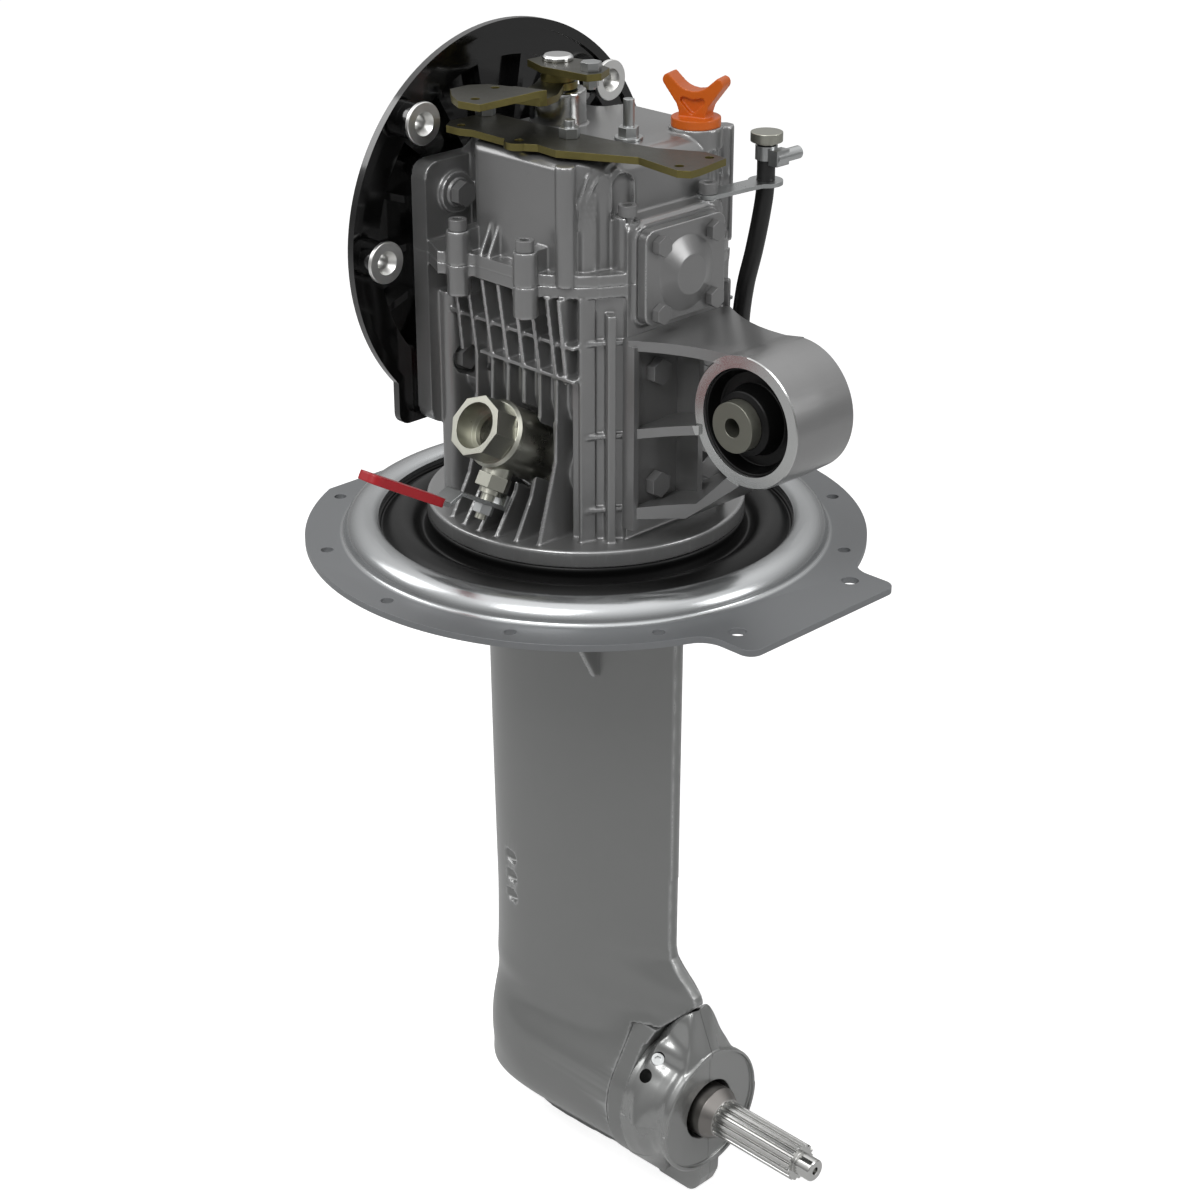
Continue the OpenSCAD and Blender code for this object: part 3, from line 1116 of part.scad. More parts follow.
module clamp_bolt() color("silver") translate([12, -6, lever_plate_z]) {
    translate([0, 0, plate_t]) hexagon(13, 6);
    translate([0, 0, -8]) cylinder(r = 3.4, h = 14);
    translate([0, 0, -6]) hexagon(10, 6);
}
bracket_z = top_z + 3;
bracket_holes = [[-45.1, -75.1], [12.3, -74.5], [133.2, -16.9], [133.6, -46.1]];
module cable_bracket() color("tan") difference() {
    translate([0, 0, bracket_z]) linear_extrude(plate_t) difference() {
        union() {
            polygon([[-60, -72], [-52.5, -82.4], [-39, -82.3], [-30.5, -78.3], [-1, -79], [3, -79], [22, -79],
                [29.7, -74], [49, -75.7], [99.9, -49.4], [140, -55], [147.8, -50], [147.8, -41.6], [142.3, -10.5],
                [122, -8], [92, -24], [60, -30], [20, -34], [-51.6, -36], [-59.5, -48.7]]);
            translate([12.3, -75]) circle(10);
        }
        for (h = bracket_holes) translate(h) circle(3.2);
    }
    for (p = stud_places) translate([p[0], p[1], bracket_z - 1]) cylinder(r = 4.2, h = 20);
}
module bracket_studs() color("silver") {
    for (p = stud_places) translate([p[0], p[1], 0]) {
        translate([0, 0, top_z]) cylinder(r = 9, h = bracket_z - top_z);
        translate([0, 0, bracket_z + plate_t]) hexagon(13, 7);
        translate([0, 0, top_z - 12]) cylinder(r = 4, h = 32);
    }
    translate([long_stud_x, long_stud_y, 0]) {
        translate([0, 0, top_z]) cylinder(r = 10, h = 2);
        translate([0, 0, top_z + 2]) hexagon(13, 7);
        translate([0, 0, top_z - 12]) cylinder(r = 4, h = 40);
    }
}

// Filler cap with dipstick

handle_t = 14;
module filler_cap() color("orange") translate([cap_x, cap_y, top_z + 3]) {
    cylinder(r = cap_r, h = 6.5);
    translate([0, 0, -16]) cylinder(r = filler_bore - 0.4, h = 17);
    rotate(18) difference() {
        side_plate(0, handle_t) polygon(concat([[-11, 5], [11, 5], [10, 9], [12, 15]], arc(18.5, 31, 4.5, 330, 450, 6),
            arc(0, 43, 18, 318, 222, 8), arc(-18.5, 31, 4.5, 90, 210, 6), [[-12, 15], [-10, 9]]));
        for (s = [-1, 1]) side_plate(s * handle_t / 2, 6) polygon(concat(arc(-7, 18, 2.5, 90, 200, 3),
            arc(0, 12, 3, 220, 320, 4), arc(7, 18, 2.5, -20, 90, 3), [[0, 19]]));
    }
}
module dipstick() color("silver") translate([cap_x, cap_y, top_z - 13 - dipstick_l]) cylinder(r = 2.5, h = dipstick_l);
dipstick_l = 130;
module cap_seal() color("black") translate([cap_x, cap_y, top_z - 8]) rotate_extrude()
    polygon([[filler_bore - 0.4, -1.5], [filler_bore - 0.05, -1], [filler_bore - 0.05, 1], [filler_bore - 0.4, 1.5]]);

// Oil hose with plug, clamp and strap

strap_t = 3;
strap_z = block_top + aft_screw_top - strap_t;
eye_x = 85.9;
eye_y = 93.7;
hose_r = 6.5;
plug_z = 291;
// Points that the hose runs through, from its port to the plug
hose_points = [[hose_x, 79, hose_low_z], [60.2, 87, 91.5], [63, 91, 106], [73, 87.5, 136], [78.6, 79.4, 162],
    [81.6, 80.2, 190], [84.3, 85.5, 216], [85.7, 91, 243], [eye_x, eye_y, 262], [eye_x, eye_y, plug_z - 0.3]];
// Smooth curve through the points
function hose_at(i, t) = let (a = hose_points[i], b = hose_points[i + 1], n = len(hose_points) - 1,
        u = (b - hose_points[max(i - 1, 0)]) / 2, v = (hose_points[min(i + 2, n)] - a) / 2)
    a + t * u + t * t * (3 * (b - a) - 2 * u - v) + t * t * t * (2 * (a - b) + u + v);
hose_steps = 3;
hose_route = [for (i = [0:hose_steps * (len(hose_points) - 1) - 1])
    hose_at(floor(i / hose_steps), (i % hose_steps) / hose_steps), hose_points[len(hose_points) - 1]];
hose_sides = 10;
function unit(v) = v / norm(v);
module hose_tube(route, r, sides) {
    n = len(route);
    aim = [for (i = [0:n - 1]) unit(route[min(i + 1, n - 1)] - route[max(i - 1, 0)])];
    pts = [for (i = [0:n - 1]) let (u = unit(cross(aim[i], [1, 0.2, 0.1])), v = cross(aim[i], u)) each
        [for (k = [0:sides - 1]) let (a = 360 * k / sides) route[i] + r * (cos(a) * u + sin(a) * v)]];
    sides_of = [for (i = [0:n - 2], k = [0:sides - 1]) let (a = i * sides + k, b = i * sides + (k + 1) % sides) each
        [[a, a + sides, b], [b, a + sides, b + sides]]];
    polyhedron(pts, concat(sides_of, [[for (k = [0:sides - 1]) k]],
        [[for (k = [sides - 1:-1:0]) (n - 1) * sides + k]]));
}
module oil_hose() color("black") hose_tube(hose_route, hose_r, hose_sides);
module hose_plug() color("silver") translate([eye_x, eye_y, plug_z]) {
    cylinder(r = 7, h = 2.5);
    translate([0, 0, 2]) cylinder(r = 11.5, h = 7);
}
module hose_clamp() color("silver") {
    translate([eye_x, eye_y, plug_z - 10.5]) tube(hose_r + 1.4, hose_r + 0.1, 10);
    // Housing of the clamp's screw
    translate([eye_x + hose_r + 0.8, eye_y - 6, plug_z - 13]) cube([8, 13, 11]);
    along_y(eye_x + hose_r + 4.8, eye_y - 4, plug_z - 7.5) cylinder(r = 4.7, h = 25);
}
module hose_strap() color("silver") {
    translate([0, 0, strap_z]) linear_extrude(strap_t) difference() {
        union() {
            translate([eye_x, eye_y]) circle(12.5);
            translate([aft_screw_x, aft_screw_y]) circle(8);
            translate([eye_x, eye_y]) rotate(180 + atan2(eye_y - aft_screw_y, eye_x - aft_screw_x))
                translate([0, -8]) square([norm([eye_x - aft_screw_x, eye_y - aft_screw_y]), 16]);
        }
        translate([eye_x, eye_y]) circle(hose_r + 0.2);
        translate([aft_screw_x, aft_screw_y]) circle(screw_r + 0.2);
    }
}

// Sea-water valve

module valve_body() color("tan") valve_frame() difference() {
    union() {
        translate([0, 0, -valve_half]) rotate_extrude() polygon([[0, 0], [valve_r - 1, 0], [valve_r, 1],
            [valve_r, valve_half + body_l], [0, valve_half + body_l]]);
        rotate([90, 0, 0]) cylinder(r = 11, h = valve_r + 4);
    }
    translate([0, 0, -valve_half - 1]) cylinder(r = water_r, h = 100);
    translate([0, 0, -valve_half - 1]) cylinder(r = mouth_r, h = 17);
    translate([0, 0, -16]) cylinder(r = ball_r + 1.5, h = 50);
    rotate([90, 0, 0]) cylinder(r = 6 + run, h = 50);
}
module valve_end() color("tan") valve_frame() difference() {
    union() {
        translate([0, 0, body_l]) rotate_extrude() polygon([[0, 0], [valve_r, 0], [valve_r + 1.2, 1.5],
            [valve_r + 1.2, 4.5], [valve_r - 1, 6.5], [0, 6.5]]);
        translate([0, 0, body_l + 2]) cylinder(r = valve_flats / 2 / cos(22.5), h = valve_half - body_l - 2, $fn = 8);
        translate([0, 0, 16]) cylinder(r = valve_r - 3, h = valve_half - 16);
    }
    translate([0, 0, 4]) cylinder(r = water_r, h = 100);
    translate([0, 0, valve_half - 16]) cylinder(r = mouth_r, h = 20);
    translate([0, 0, 4]) cylinder(r = ball_r + 1.5, h = 12);
}
body_l = 11.2;
module valve_ball() color("silver") valve_frame() difference() {
    sphere(r = ball_r);
    translate([0, 0, -30]) cylinder(r = water_r, h = 60);
    translate([-2.6, -ball_r - 1, -8]) cube([5.2, 4, 16]);
}
module valve_seats() color("white") valve_frame() for (s = [-1, 1]) mirror([0, 0, s > 0 ? 0 : 1]) difference() {
    translate([0, 0, 10]) tube(ball_r + 1.5 - run, water_r, 5.8);
    sphere(r = ball_r + run);
}
stem_end = 60;
module valve_stem() color("silver") valve_frame() {
    rotate([90, 0, 0]) {
        translate([0, 0, ball_r + 0.3]) cylinder(r = 6, h = 8);
        translate([0, 0, ball_r]) cylinder(r = 5, h = lever_out - ball_r);
        cylinder_z = lever_out - 1;
        translate([0, 0, cylinder_z]) cylinder(r = 4, h = stem_end - cylinder_z);
    }
    translate([-2.5, -ball_r - 0.5, -5]) cube([5, 3.4, 10]);
}
lever_out = 46;
module gland_nut() color("silver") valve_frame() rotate([90, 0, 0]) translate([0, 0, valve_r + 4]) difference() {
    union() {
        hexagon(22, 10);
        cylinder(r = 8, h = 14);
    }
    translate([0, 0, -1]) cylinder(r = 5 + run, h = 40);
}
lever_t = 3;
lever_half = 8.5;
lever_drop = 10;
module valve_lever() color("silver") valve_frame() difference() {
    // Strip seen from its side: Y along the stem, Z along the water way
    translate([-lever_half, 0, 0]) rotate([90, 0, 90]) linear_extrude(2 * lever_half) polygon(
        [[-lever_out + 8, -13], [-lever_out, -13], [-lever_out - lever_t, -13], [-lever_out - lever_t, 33],
            [-lever_out - lever_drop - lever_t, 41], [-lever_out - lever_drop - lever_t, grip_end - 4],
            [-lever_out - lever_drop, grip_end - 4], [-lever_out - lever_drop, 42], [-lever_out, 34], [-lever_out, -10],
            [-lever_out + 8, -10]]);
    rotate([90, 0, 0]) cylinder(r = 4 + 0.01, h = 100);
}
grip_end = 119;
grip_from = 45;
module lever_grip() color("red") valve_frame() difference() {
    translate([0, -lever_out - lever_drop - lever_t / 2, 0]) rotate([90, 0, 0]) translate([0, 0, -3.25])
        linear_extrude(6.5) translate([0, (grip_end + grip_from) / 2]) polygon(round_box(10, (grip_end - grip_from) / 2, 7));
    translate([-lever_half, -lever_out - lever_drop - lever_t, 20]) cube([2 * lever_half, lever_t, grip_end - 24]);
}
module lever_nut() color("silver") valve_frame() rotate([90, 0, 0]) translate([0, 0, lever_out + lever_t]) difference() {
    hexagon(13, 7);
    translate([0, 0, -1]) cylinder(r = 4 + 0.01, h = 20);
}

hull_ring();
diaphragm();
lower_housing();
upper_housing();
leg_casting();
engine_adapter();
adapter_bushings();
adapter_bolts();
split_screws();
rear_cover();
rear_cover_bolts();
mount_bracket();
bracket_bolts();
bush_rubber();
bush_sleeve();
valve_body();
valve_end();
valve_ball();
valve_seats();
valve_stem();
gland_nut();
valve_lever();
lever_grip();
lever_nut();
filler_cap();
dipstick();
cap_seal();
shift_shaft();
shift_lever();
lever_plate();
shaft_cap();
clamp_bolt();
cable_bracket();
bracket_studs();
shift_fork();
clutch_cone();
ahead_gear();
astern_gear();
gear_bearings();
input_shaft();
input_pinion();
input_bearings();
input_seal();
vertical_shaft();
shaft_bearings();
lower_pinion();
prop_gear();
prop_shaft();
prop_bearings();
prop_seal();
bearing_carrier();
anode_port();
anode_starboard();
anode_screws();
oil_hose();
hose_plug();
hose_clamp();
hose_strap();
leg_bolts();
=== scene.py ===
"""Looks of a boat's saildrive: casings, hull ring, leg, mount, valve, levers and propeller shaft."""
import json
import math
import bmesh
import bpy
import numpy as np
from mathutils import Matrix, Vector


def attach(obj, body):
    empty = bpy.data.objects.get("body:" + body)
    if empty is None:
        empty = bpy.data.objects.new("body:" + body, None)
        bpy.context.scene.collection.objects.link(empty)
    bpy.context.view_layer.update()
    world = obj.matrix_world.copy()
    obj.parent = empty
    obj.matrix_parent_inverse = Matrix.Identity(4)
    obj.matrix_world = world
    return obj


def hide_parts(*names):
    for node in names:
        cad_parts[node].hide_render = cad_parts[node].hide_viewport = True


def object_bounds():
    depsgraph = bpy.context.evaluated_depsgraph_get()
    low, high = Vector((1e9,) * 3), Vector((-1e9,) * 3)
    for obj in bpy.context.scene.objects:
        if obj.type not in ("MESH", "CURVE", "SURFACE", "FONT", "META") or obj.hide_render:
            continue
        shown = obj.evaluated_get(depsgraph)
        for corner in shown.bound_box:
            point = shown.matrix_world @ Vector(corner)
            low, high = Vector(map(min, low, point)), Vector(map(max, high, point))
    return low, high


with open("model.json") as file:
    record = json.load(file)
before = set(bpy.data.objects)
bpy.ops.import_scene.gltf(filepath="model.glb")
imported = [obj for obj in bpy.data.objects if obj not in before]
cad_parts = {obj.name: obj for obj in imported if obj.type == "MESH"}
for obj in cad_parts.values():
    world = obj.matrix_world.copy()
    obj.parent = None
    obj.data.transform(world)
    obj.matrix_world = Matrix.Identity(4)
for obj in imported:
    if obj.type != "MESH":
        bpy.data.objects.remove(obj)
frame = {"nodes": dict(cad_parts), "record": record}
cad_low, cad_high = [[float(v) for v in corner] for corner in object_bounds()]

# Camera, at the photograph's angle: 45 degrees round from the port side, 25 degrees up, with a
# long lens
camera_lens, camera_sensor, camera_clip = 74.217, 36.0, 50.0
camera_place = (1.20969, -1.19289, 0.73515)
camera_turn, camera_height = math.radians(45.051), math.radians(25.054)


def aimed(name, data, place, along):
    """A camera or a lamp at a place, looking along a direction."""
    made = bpy.data.objects.new(name, data)
    made.location = place
    made.rotation_mode = "QUATERNION"
    made.rotation_quaternion = along.to_track_quat("-Z", "Y")
    bpy.context.collection.objects.link(made)
    return made


camera = aimed("camera", bpy.data.cameras.new("camera"), camera_place,
               Vector((-math.sin(camera_turn) * math.cos(camera_height),
                       math.cos(camera_turn) * math.cos(camera_height), -math.sin(camera_height))))
camera.data.lens, camera.data.sensor_width, camera.data.clip_end = camera_lens, camera_sensor, camera_clip
bpy.context.scene.camera = camera
bpy.context.scene.view_settings.view_transform = "Standard"


# Room: a white floor under the keel, a pale sky that is dimmer near its horizon, so that paint and
# metal show their form, and three soft boxes
class Wire:
    """A socket of a shader. Sums, products and powers of wires and numbers become Math nodes."""

    def __init__(self, tree, socket):
        self.tree, self.socket = tree, socket

    def add(self, kind, settings=(), sockets=(), out=0):
        """Adds a node of a kind, with its settings and then the values or links of its sockets, and
        gives the wire of one output."""
        made = self.tree.nodes.new("ShaderNode" + kind)
        for name, value in dict(settings).items():
            setattr(made, name, value)
        for name, value in dict(sockets).items():
            if isinstance(value, Wire):
                self.tree.links.new(value.socket, made.inputs[name])
            else:
                made.inputs[name].default_value = value
        return Wire(self.tree, made.outputs[out])

    def _maths(self, operation, one, two=0.0, clamp=False):
        return self.add("Math", {"operation": operation, "use_clamp": clamp}, {0: one, 1: two})

    def __add__(self, other): return self._maths("ADD", self, other)
    def __radd__(self, other): return self._maths("ADD", other, self)
    def __sub__(self, other): return self._maths("SUBTRACT", self, other)
    def __rsub__(self, other): return self._maths("SUBTRACT", other, self)
    def __mul__(self, other): return self._maths("MULTIPLY", self, other)
    def __rmul__(self, other): return self._maths("MULTIPLY", other, self)
    def __truediv__(self, other): return self._maths("DIVIDE", self, other)
    def __pow__(self, other): return self._maths("POWER", self, other)
    def clamped(self): return self._maths("ADD", self, 0.0, clamp=True)
    def above(self, edge): return self._maths("GREATER_THAN", self, edge)
    def size(self): return self._maths("ABSOLUTE", self)

    def part(self, axis):
        """X, Y or Z (0, 1, 2) of a vector."""
        return self.add("SeparateXYZ", (), {0: self}, out=axis)


def start_finish(name):
    """An empty material: the wire of its Object coordinates."""
    made = bpy.data.materials.new(name)
    made.use_nodes = True
    made.node_tree.nodes.clear()
    return made, Wire(made.node_tree, None).add("TexCoord", out="Object")


def close_finish(where, shader):
    """Links a shader to the material's surface."""
    end = where.tree.nodes.new("ShaderNodeOutputMaterial")
    where.tree.links.new(shader.socket, end.inputs["Surface"])


white, floor_grey = (1.0, 1.0, 1.0, 1.0), (0.8, 0.8, 0.8, 1.0)
floor_z, floor_reach = cad_low[2] - 0.0005, 12.0
floor_seen, floor_mirrored = 0.74, 0.05
floor = bpy.data.objects.new("floor", bpy.data.meshes.new("floor"))
floor.data.from_pydata([(-floor_reach, -floor_reach, floor_z), (floor_reach, -floor_reach, floor_z),
                        (floor_reach, floor_reach, floor_z), (-floor_reach, floor_reach, floor_z)],
                       [], [(0, 1, 2, 3)])
bpy.context.collection.objects.link(floor)
floor_finish, spot = start_finish("floor_white")
seen = (spot.add("LightPath", out="Is Camera Ray") * floor_seen
        + spot.add("LightPath", out="Is Glossy Ray") * floor_mirrored)
matt = spot.add("BsdfDiffuse", (), {"Color": floor_grey})
glow = spot.add("Emission", (), {"Color": white, "Strength": seen})
close_finish(spot, spot.add("AddShader", (), {0: matt, 1: glow}))
floor.data.materials.append(floor_finish)

# The sky is white to the camera. It lights with sky_light, and in a mirror it goes from sky_low near
# its horizon to sky_high
sky_light, sky_low, sky_high, sky_rise, sky_power = 0.34, 0.28, 1.7, 1.1, 1.5
room = bpy.data.worlds.new("room")
bpy.context.scene.world = room
room.use_nodes = True
room.node_tree.nodes.clear()
sky = Wire(room.node_tree, None)
straight = (sky.add("LightPath", out="Is Camera Ray")
            + sky.add("LightPath", out="Is Transmission Ray")).clamped()
mirrored = sky.add("LightPath", out="Is Glossy Ray")
aloft = (sky.add("TexCoord", out="Generated").part(2) * sky_rise).clamped() ** sky_power
strength = (sky_light + straight * (1.0 - sky_light)
            + mirrored * (sky_low - sky_light + aloft * (sky_high - sky_low)))
sky_out = room.node_tree.nodes.new("ShaderNodeOutputWorld")
room.node_tree.links.new(sky.add("Background", (), {"Color": white, "Strength": strength}).socket,
                         sky_out.inputs["Surface"])

# Soft boxes: the place, the size and the power of each, all turned to one point of the drive
lamp_target = Vector((0.05, 0.0, -0.05))
for name, place, size, watts in (("key", (0.7, -1.9, 2.2), 1.3, 36.0), ("side", (2.3, 1.0, 1.1), 1.0, 16.0),
                                 ("back", (-1.8, -1.2, 1.6), 1.2, 14.0)):
    lamp = bpy.data.lights.new(name, "AREA")
    lamp.shape, lamp.size, lamp.energy = "SQUARE", size, watts
    aimed(name, lamp, place, lamp_target - Vector(place))


# Gear casings: two sand castings of aluminium, joined at the input shaft and painted a satin grey,
# with a painted highlight that lightens their rounded edges
merge_distance = 2e-6


def rows_of(parts, name, width, kind=np.float32):
    """One value of all of a mesh's parts, such as the co of its points, with a row for each part."""
    values = np.zeros(len(parts) * width, kind)
    parts.foreach_get(name, values)
    return values.reshape(-1, width)


def node_mesh(node):
    """Points and triangles of a CAD node, with points at one place merged."""
    mesh = frame["nodes"][node].data
    mesh.calc_loop_triangles()
    co, tri = rows_of(mesh.vertices, "co", 3), rows_of(mesh.loop_triangles, "vertices", 3, np.int32)
    first, where = np.unique(np.round(co / merge_distance).astype(np.int64), axis=0, return_index=True,
                             return_inverse=True)[1:]
    tri = where.reshape(-1)[tri]
    keep = (tri[:, 0] != tri[:, 1]) & (tri[:, 1] != tri[:, 2]) & (tri[:, 2] != tri[:, 0])
    return co[first], tri[keep]


def new_piece(name, points, *kinds):
    """A mesh object at the origin, from an array of points and arrays of faces. The faces of one array
    have the same number of corners."""
    mesh = bpy.data.meshes.new(name)
    points = np.asarray(points, np.float32)
    kinds = [np.asarray(kind, np.int32) for kind in kinds]
    mesh.vertices.add(len(points))
    mesh.vertices.foreach_set("co", points.ravel())
    mesh.loops.add(sum(kind.size for kind in kinds))
    mesh.loops.foreach_set("vertex_index", np.concatenate([kind.ravel() for kind in kinds]))
    corners = np.concatenate([np.full(len(kind), kind.shape[1], np.int32) for kind in kinds])
    mesh.polygons.add(len(corners))
    mesh.polygons.foreach_set("loop_start", np.concatenate([[0], np.cumsum(corners)[:-1]]).astype(np.int32))
    mesh.update(calc_edges=True)
    mesh.validate()
    piece = bpy.data.objects.new(name, mesh)
    bpy.context.collection.objects.link(piece)
    return piece


def settle(piece, angle=38.0):
    """Applies a piece's modifiers. If an angle is given, the piece is shaded smooth but for the edges
    that are sharper."""
    graph = bpy.context.evaluated_depsgraph_get()
    done = bpy.data.meshes.new_from_object(piece.evaluated_get(graph))
    piece.modifiers.clear()
    old, piece.data = piece.data, done
    bpy.data.meshes.remove(old)
    if angle:
        done.polygons.foreach_set("use_smooth", [True] * len(done.polygons))
        done.set_sharp_from_angle(angle=math.radians(angle))
    return piece


record_slot = {row["node"]: row["material_slot"] for row in frame["record"]["subparts"]}
record_body = {node: body for body, members in frame["record"]["behaviour"]["bodies"].items()
               for node in members}
finish = {}


def put(piece, node):
    """Gives a piece the body, slot and finish of the CAD node that it stands for."""
    piece.data.materials.clear()
    piece.data.materials.append(finish[record_slot[node]])
    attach(piece, record_body[node])
    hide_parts(node)
    return piece


def ease(t):
    """0 below 0, 1 above 1, and an S-curve between."""
    u = np.clip(t, 0.0, 1.0)
    return u * u * (3 - 2 * u)


def neighbours(edges, value):
    """For each point, the sum of a value, or of rows of values, over the points at the other ends of its
    edges."""
    if value.ndim > 1:
        return np.stack([neighbours(edges, column) for column in value.T], 1)
    one, two = edges
    return np.bincount(one, value[two], len(value)) + np.bincount(two, value[one], len(value))


# A casting's points move by these shares of the way to the mean of their neighbours, in turn
smooth_shares = (0.5, -0.34)
# How far a point stands out of that mean, as a share of its distance to them, on an edge that
# gets the full painted highlight
full_edge = 0.22
thinned_angle = 60.0


def mark_edges(piece):
    """Gives each point a value bright, the mask of the painted edge highlight, from 0 on flat and hollow
    places to 1 on a rounded edge: how far it stands out of the mean of its neighbours, as a share of
    their distance."""
    mesh = piece.data
    co, out = rows_of(mesh.vertices, "co", 3).astype(float), rows_of(mesh.vertices, "normal", 3)
    edges = one, two = rows_of(mesh.edges, "vertices", 2, np.int32).T
    count = neighbours(edges, np.ones(len(co)))
    length = np.linalg.norm(co[one] - co[two], axis=1)
    reach = (np.bincount(one, length, len(co)) + np.bincount(two, length, len(co))) / count
    mean = neighbours(edges, co) / count[:, None]
    bright = ease(((co - mean) * out).sum(1) / reach / full_edge)
    bright = 0.5 * bright + 0.5 * neighbours(edges, bright) / count
    mesh.attributes.new("bright", "FLOAT", "POINT").data.foreach_set("value", bright.astype(np.float32))
    return piece


def cast_copy(name, node, grain, rounds, most, ribs=(), shape=None):
    """A node, and ribs as points and triangles, as one casting: a skin of cells of the grain's size,
    whose points move rounds times halfway to the mean of their neighbours and part of the way back,
    which rounds edges and fills corners. Shape moves its points, and it is thinned to most triangles."""
    meshes = [node_mesh(node), *ribs]
    starts = np.cumsum([0] + [len(points) for points, faces in meshes])
    piece = new_piece(name, np.vstack([points for points, faces in meshes]),
                      np.vstack([faces + start for (points, faces), start in zip(meshes, starts)]))
    skin = piece.modifiers.new("skin", "REMESH")
    skin.mode, skin.voxel_size = "VOXEL", grain
    settle(piece)
    mesh = piece.data
    co = rows_of(mesh.vertices, "co", 3).astype(float)
    edges = rows_of(mesh.edges, "vertices", 2, np.int32).T
    count = neighbours(edges, np.ones(len(co)))[:, None]
    for _ in range(rounds):
        for share in smooth_shares:
            co += share * (neighbours(edges, co) / count - co)
    if shape:
        co = shape(co * 1000) / 1000
    mesh.vertices.foreach_set("co", co.astype(np.float32).ravel())
    mesh.update()
    triangles = 2 * len(mesh.polygons)
    if triangles > most:
        thin = piece.modifiers.new("thin", "DECIMATE")
        thin.ratio = most / triangles
        settle(piece, thinned_angle)
    piece.data.polygons.foreach_set("use_smooth", [True] * len(piece.data.polygons))
    return mark_edges(piece)


def smooth_path(points, steps):
    """A curve through points: between two of them a cubic whose slopes come from their neighbours."""
    p = np.asarray(points, float)
    before, after = np.vstack([p[:1], p[:-1]]), np.vstack([p[1:], p[-1:]])
    slope = (after - before) / 2
    t = np.linspace(0, 1, steps, endpoint=False)[None, :, None]
    a, b, u, v = p[:-1, None], p[1:, None], slope[:-1, None], slope[1:, None]
    curve = a + t * u + t ** 2 * (3 * (b - a) - 2 * u - v) + t ** 3 * (2 * (a - b) + u + v)
    return np.vstack([curve.reshape(-1, 3), p[-1:]])


# A direction that no rod runs along, from which their circles start
rod_start = (0.31, 0.17, 0.93)


def rod_along(path, radius, sides):
    """Points and triangles of a round rod: circles of the radius, square to the path, each started on
    the same side, with a flat end at each end."""
    path = np.asarray(path, float)
    aim = np.gradient(path, axis=0)
    aim /= np.linalg.norm(aim, axis=1)[:, None]
    across = np.cross(aim, rod_start)
    across /= np.linalg.norm(across, axis=1)[:, None]
    up = np.cross(aim, across)
    angle = np.linspace(0, 2 * math.pi, sides, endpoint=False)
    rings = (path[:, None] + np.reshape(radius, (-1, 1, 1))
             * (np.cos(angle)[:, None] * across[:, None] + np.sin(angle)[:, None] * up[:, None]))
    points = np.vstack([rings.reshape(-1, 3), path[:1], path[-1:]])
    i, j = np.meshgrid(np.arange(len(path) - 1), np.arange(sides), indexing="ij")
    a, b = i * sides + j, i * sides + (j + 1) % sides
    sides_of = np.stack([a, a + sides, b, b, a + sides, b + sides], -1).reshape(-1, 3)
    k = np.arange(sides)
    last = (len(path) - 1) * sides
    near = np.stack([k, (k + 1) % sides, np.full(sides, len(points) - 2)], 1)
    far = np.stack([last + (k + 1) % sides, last + k, np.full(sides, len(points) - 1)], 1)
    faces = np.vstack([sides_of, near, far])
    return points, faces[:, ::-1]


def linear(code):
    """A web colour such as '757575' as the linear red, green and blue that a shader takes."""
    parts = [int(code[i:i + 2], 16) / 255 for i in (0, 2, 4)]
    return tuple(p / 12.92 if p <= 0.04045 else ((p + 0.055) / 1.055) ** 2.4 for p in parts)


def mixed(where, share, one, two):
    """A colour that goes from one to two as the share goes from 0 to 1."""
    return where.add("Mix", {"data_type": "RGBA"}, {0: share, 6: one, 7: two}, out=2)


def shaded(where, share, base, spread):
    """A colour that goes from darker to lighter by the spread as the share goes from 0 to 1."""
    dark, light = [c * (1 - spread) for c in base], [min(1, c * (1 + spread)) for c in base]
    return mixed(where, share, (*dark, 1.0), (*light, 1.0))


def noise(where, scale, detail, roughness=0.6):
    """Noise from 0 to 1 over the coordinates: its scale a metre, its levels of detail and how much the
    finer ones count."""
    return where.add("TexNoise", (), {"Vector": where, "Scale": scale, "Detail": detail,
                                      "Roughness": roughness})


# A light grey painted on rounded edges as a highlight, and the colour of bare machined metal
painted_edge_highlight, bare_metal = (*linear("d0d1d1"), 1.0), (*linear("b4b5b4"), 1.0)
edge_highlight_share, edge_gloss, bare_gloss, coat_rough = 0.55, 0.08, 0.14, 0.14
cast_cloud, cast_fine, cast_bump = (14.0, 4.0), (1400.0, 2.0, 0.5), 0.0004
cloud_gloss, fine_gloss = 0.1, 0.06


def paint(name, code, rough, speck, spread, metallic=0.25, coat=0.3, bare=None):
    """Paint over a casting: fine orange peel in the bump, faint cloudiness in its colour and gloss, a
    little metal flake and a clear coat, with a painted highlight that lightens the rounded edges. Bare
    gives, from the coordinates, where metal shows instead."""
    made, where = start_finish(name)
    cloud, fine = noise(where, *cast_cloud), noise(where, *cast_fine)
    rim = where.add("Attribute", {"attribute_name": "bright"}, (), out=2)
    # Painted highlight: the colour goes towards a light grey on rounded edges, by the bright mark
    colour = mixed(where, rim * edge_highlight_share, shaded(where, cloud, linear(code), spread), painted_edge_highlight)
    gloss = rough + (cloud - 0.5) * cloud_gloss + (fine - 0.5) * fine_gloss - rim * edge_gloss
    if bare:
        share = bare(where)
        colour = mixed(where, share, colour, bare_metal)
        metallic, gloss = metallic + share * (1.0 - metallic), gloss - share * bare_gloss
    close_finish(where, where.add("BsdfPrincipled", (), {
        "Base Color": colour, "Metallic": metallic, "Roughness": gloss,
        "Normal": where.add("Bump", (), {"Strength": speck, "Distance": cast_bump, "Height": fine}),
        "Coat Weight": coat, "Coat Roughness": coat_rough}))
    return made


neck_ahead, neck_r, neck_low = 0.027, 0.0208, 0.3052
barrel_x, barrel_z, barrel_r, barrel_half, barrel_sharp = 0.181, 0.141, 0.0471, 0.0281, 2500.0


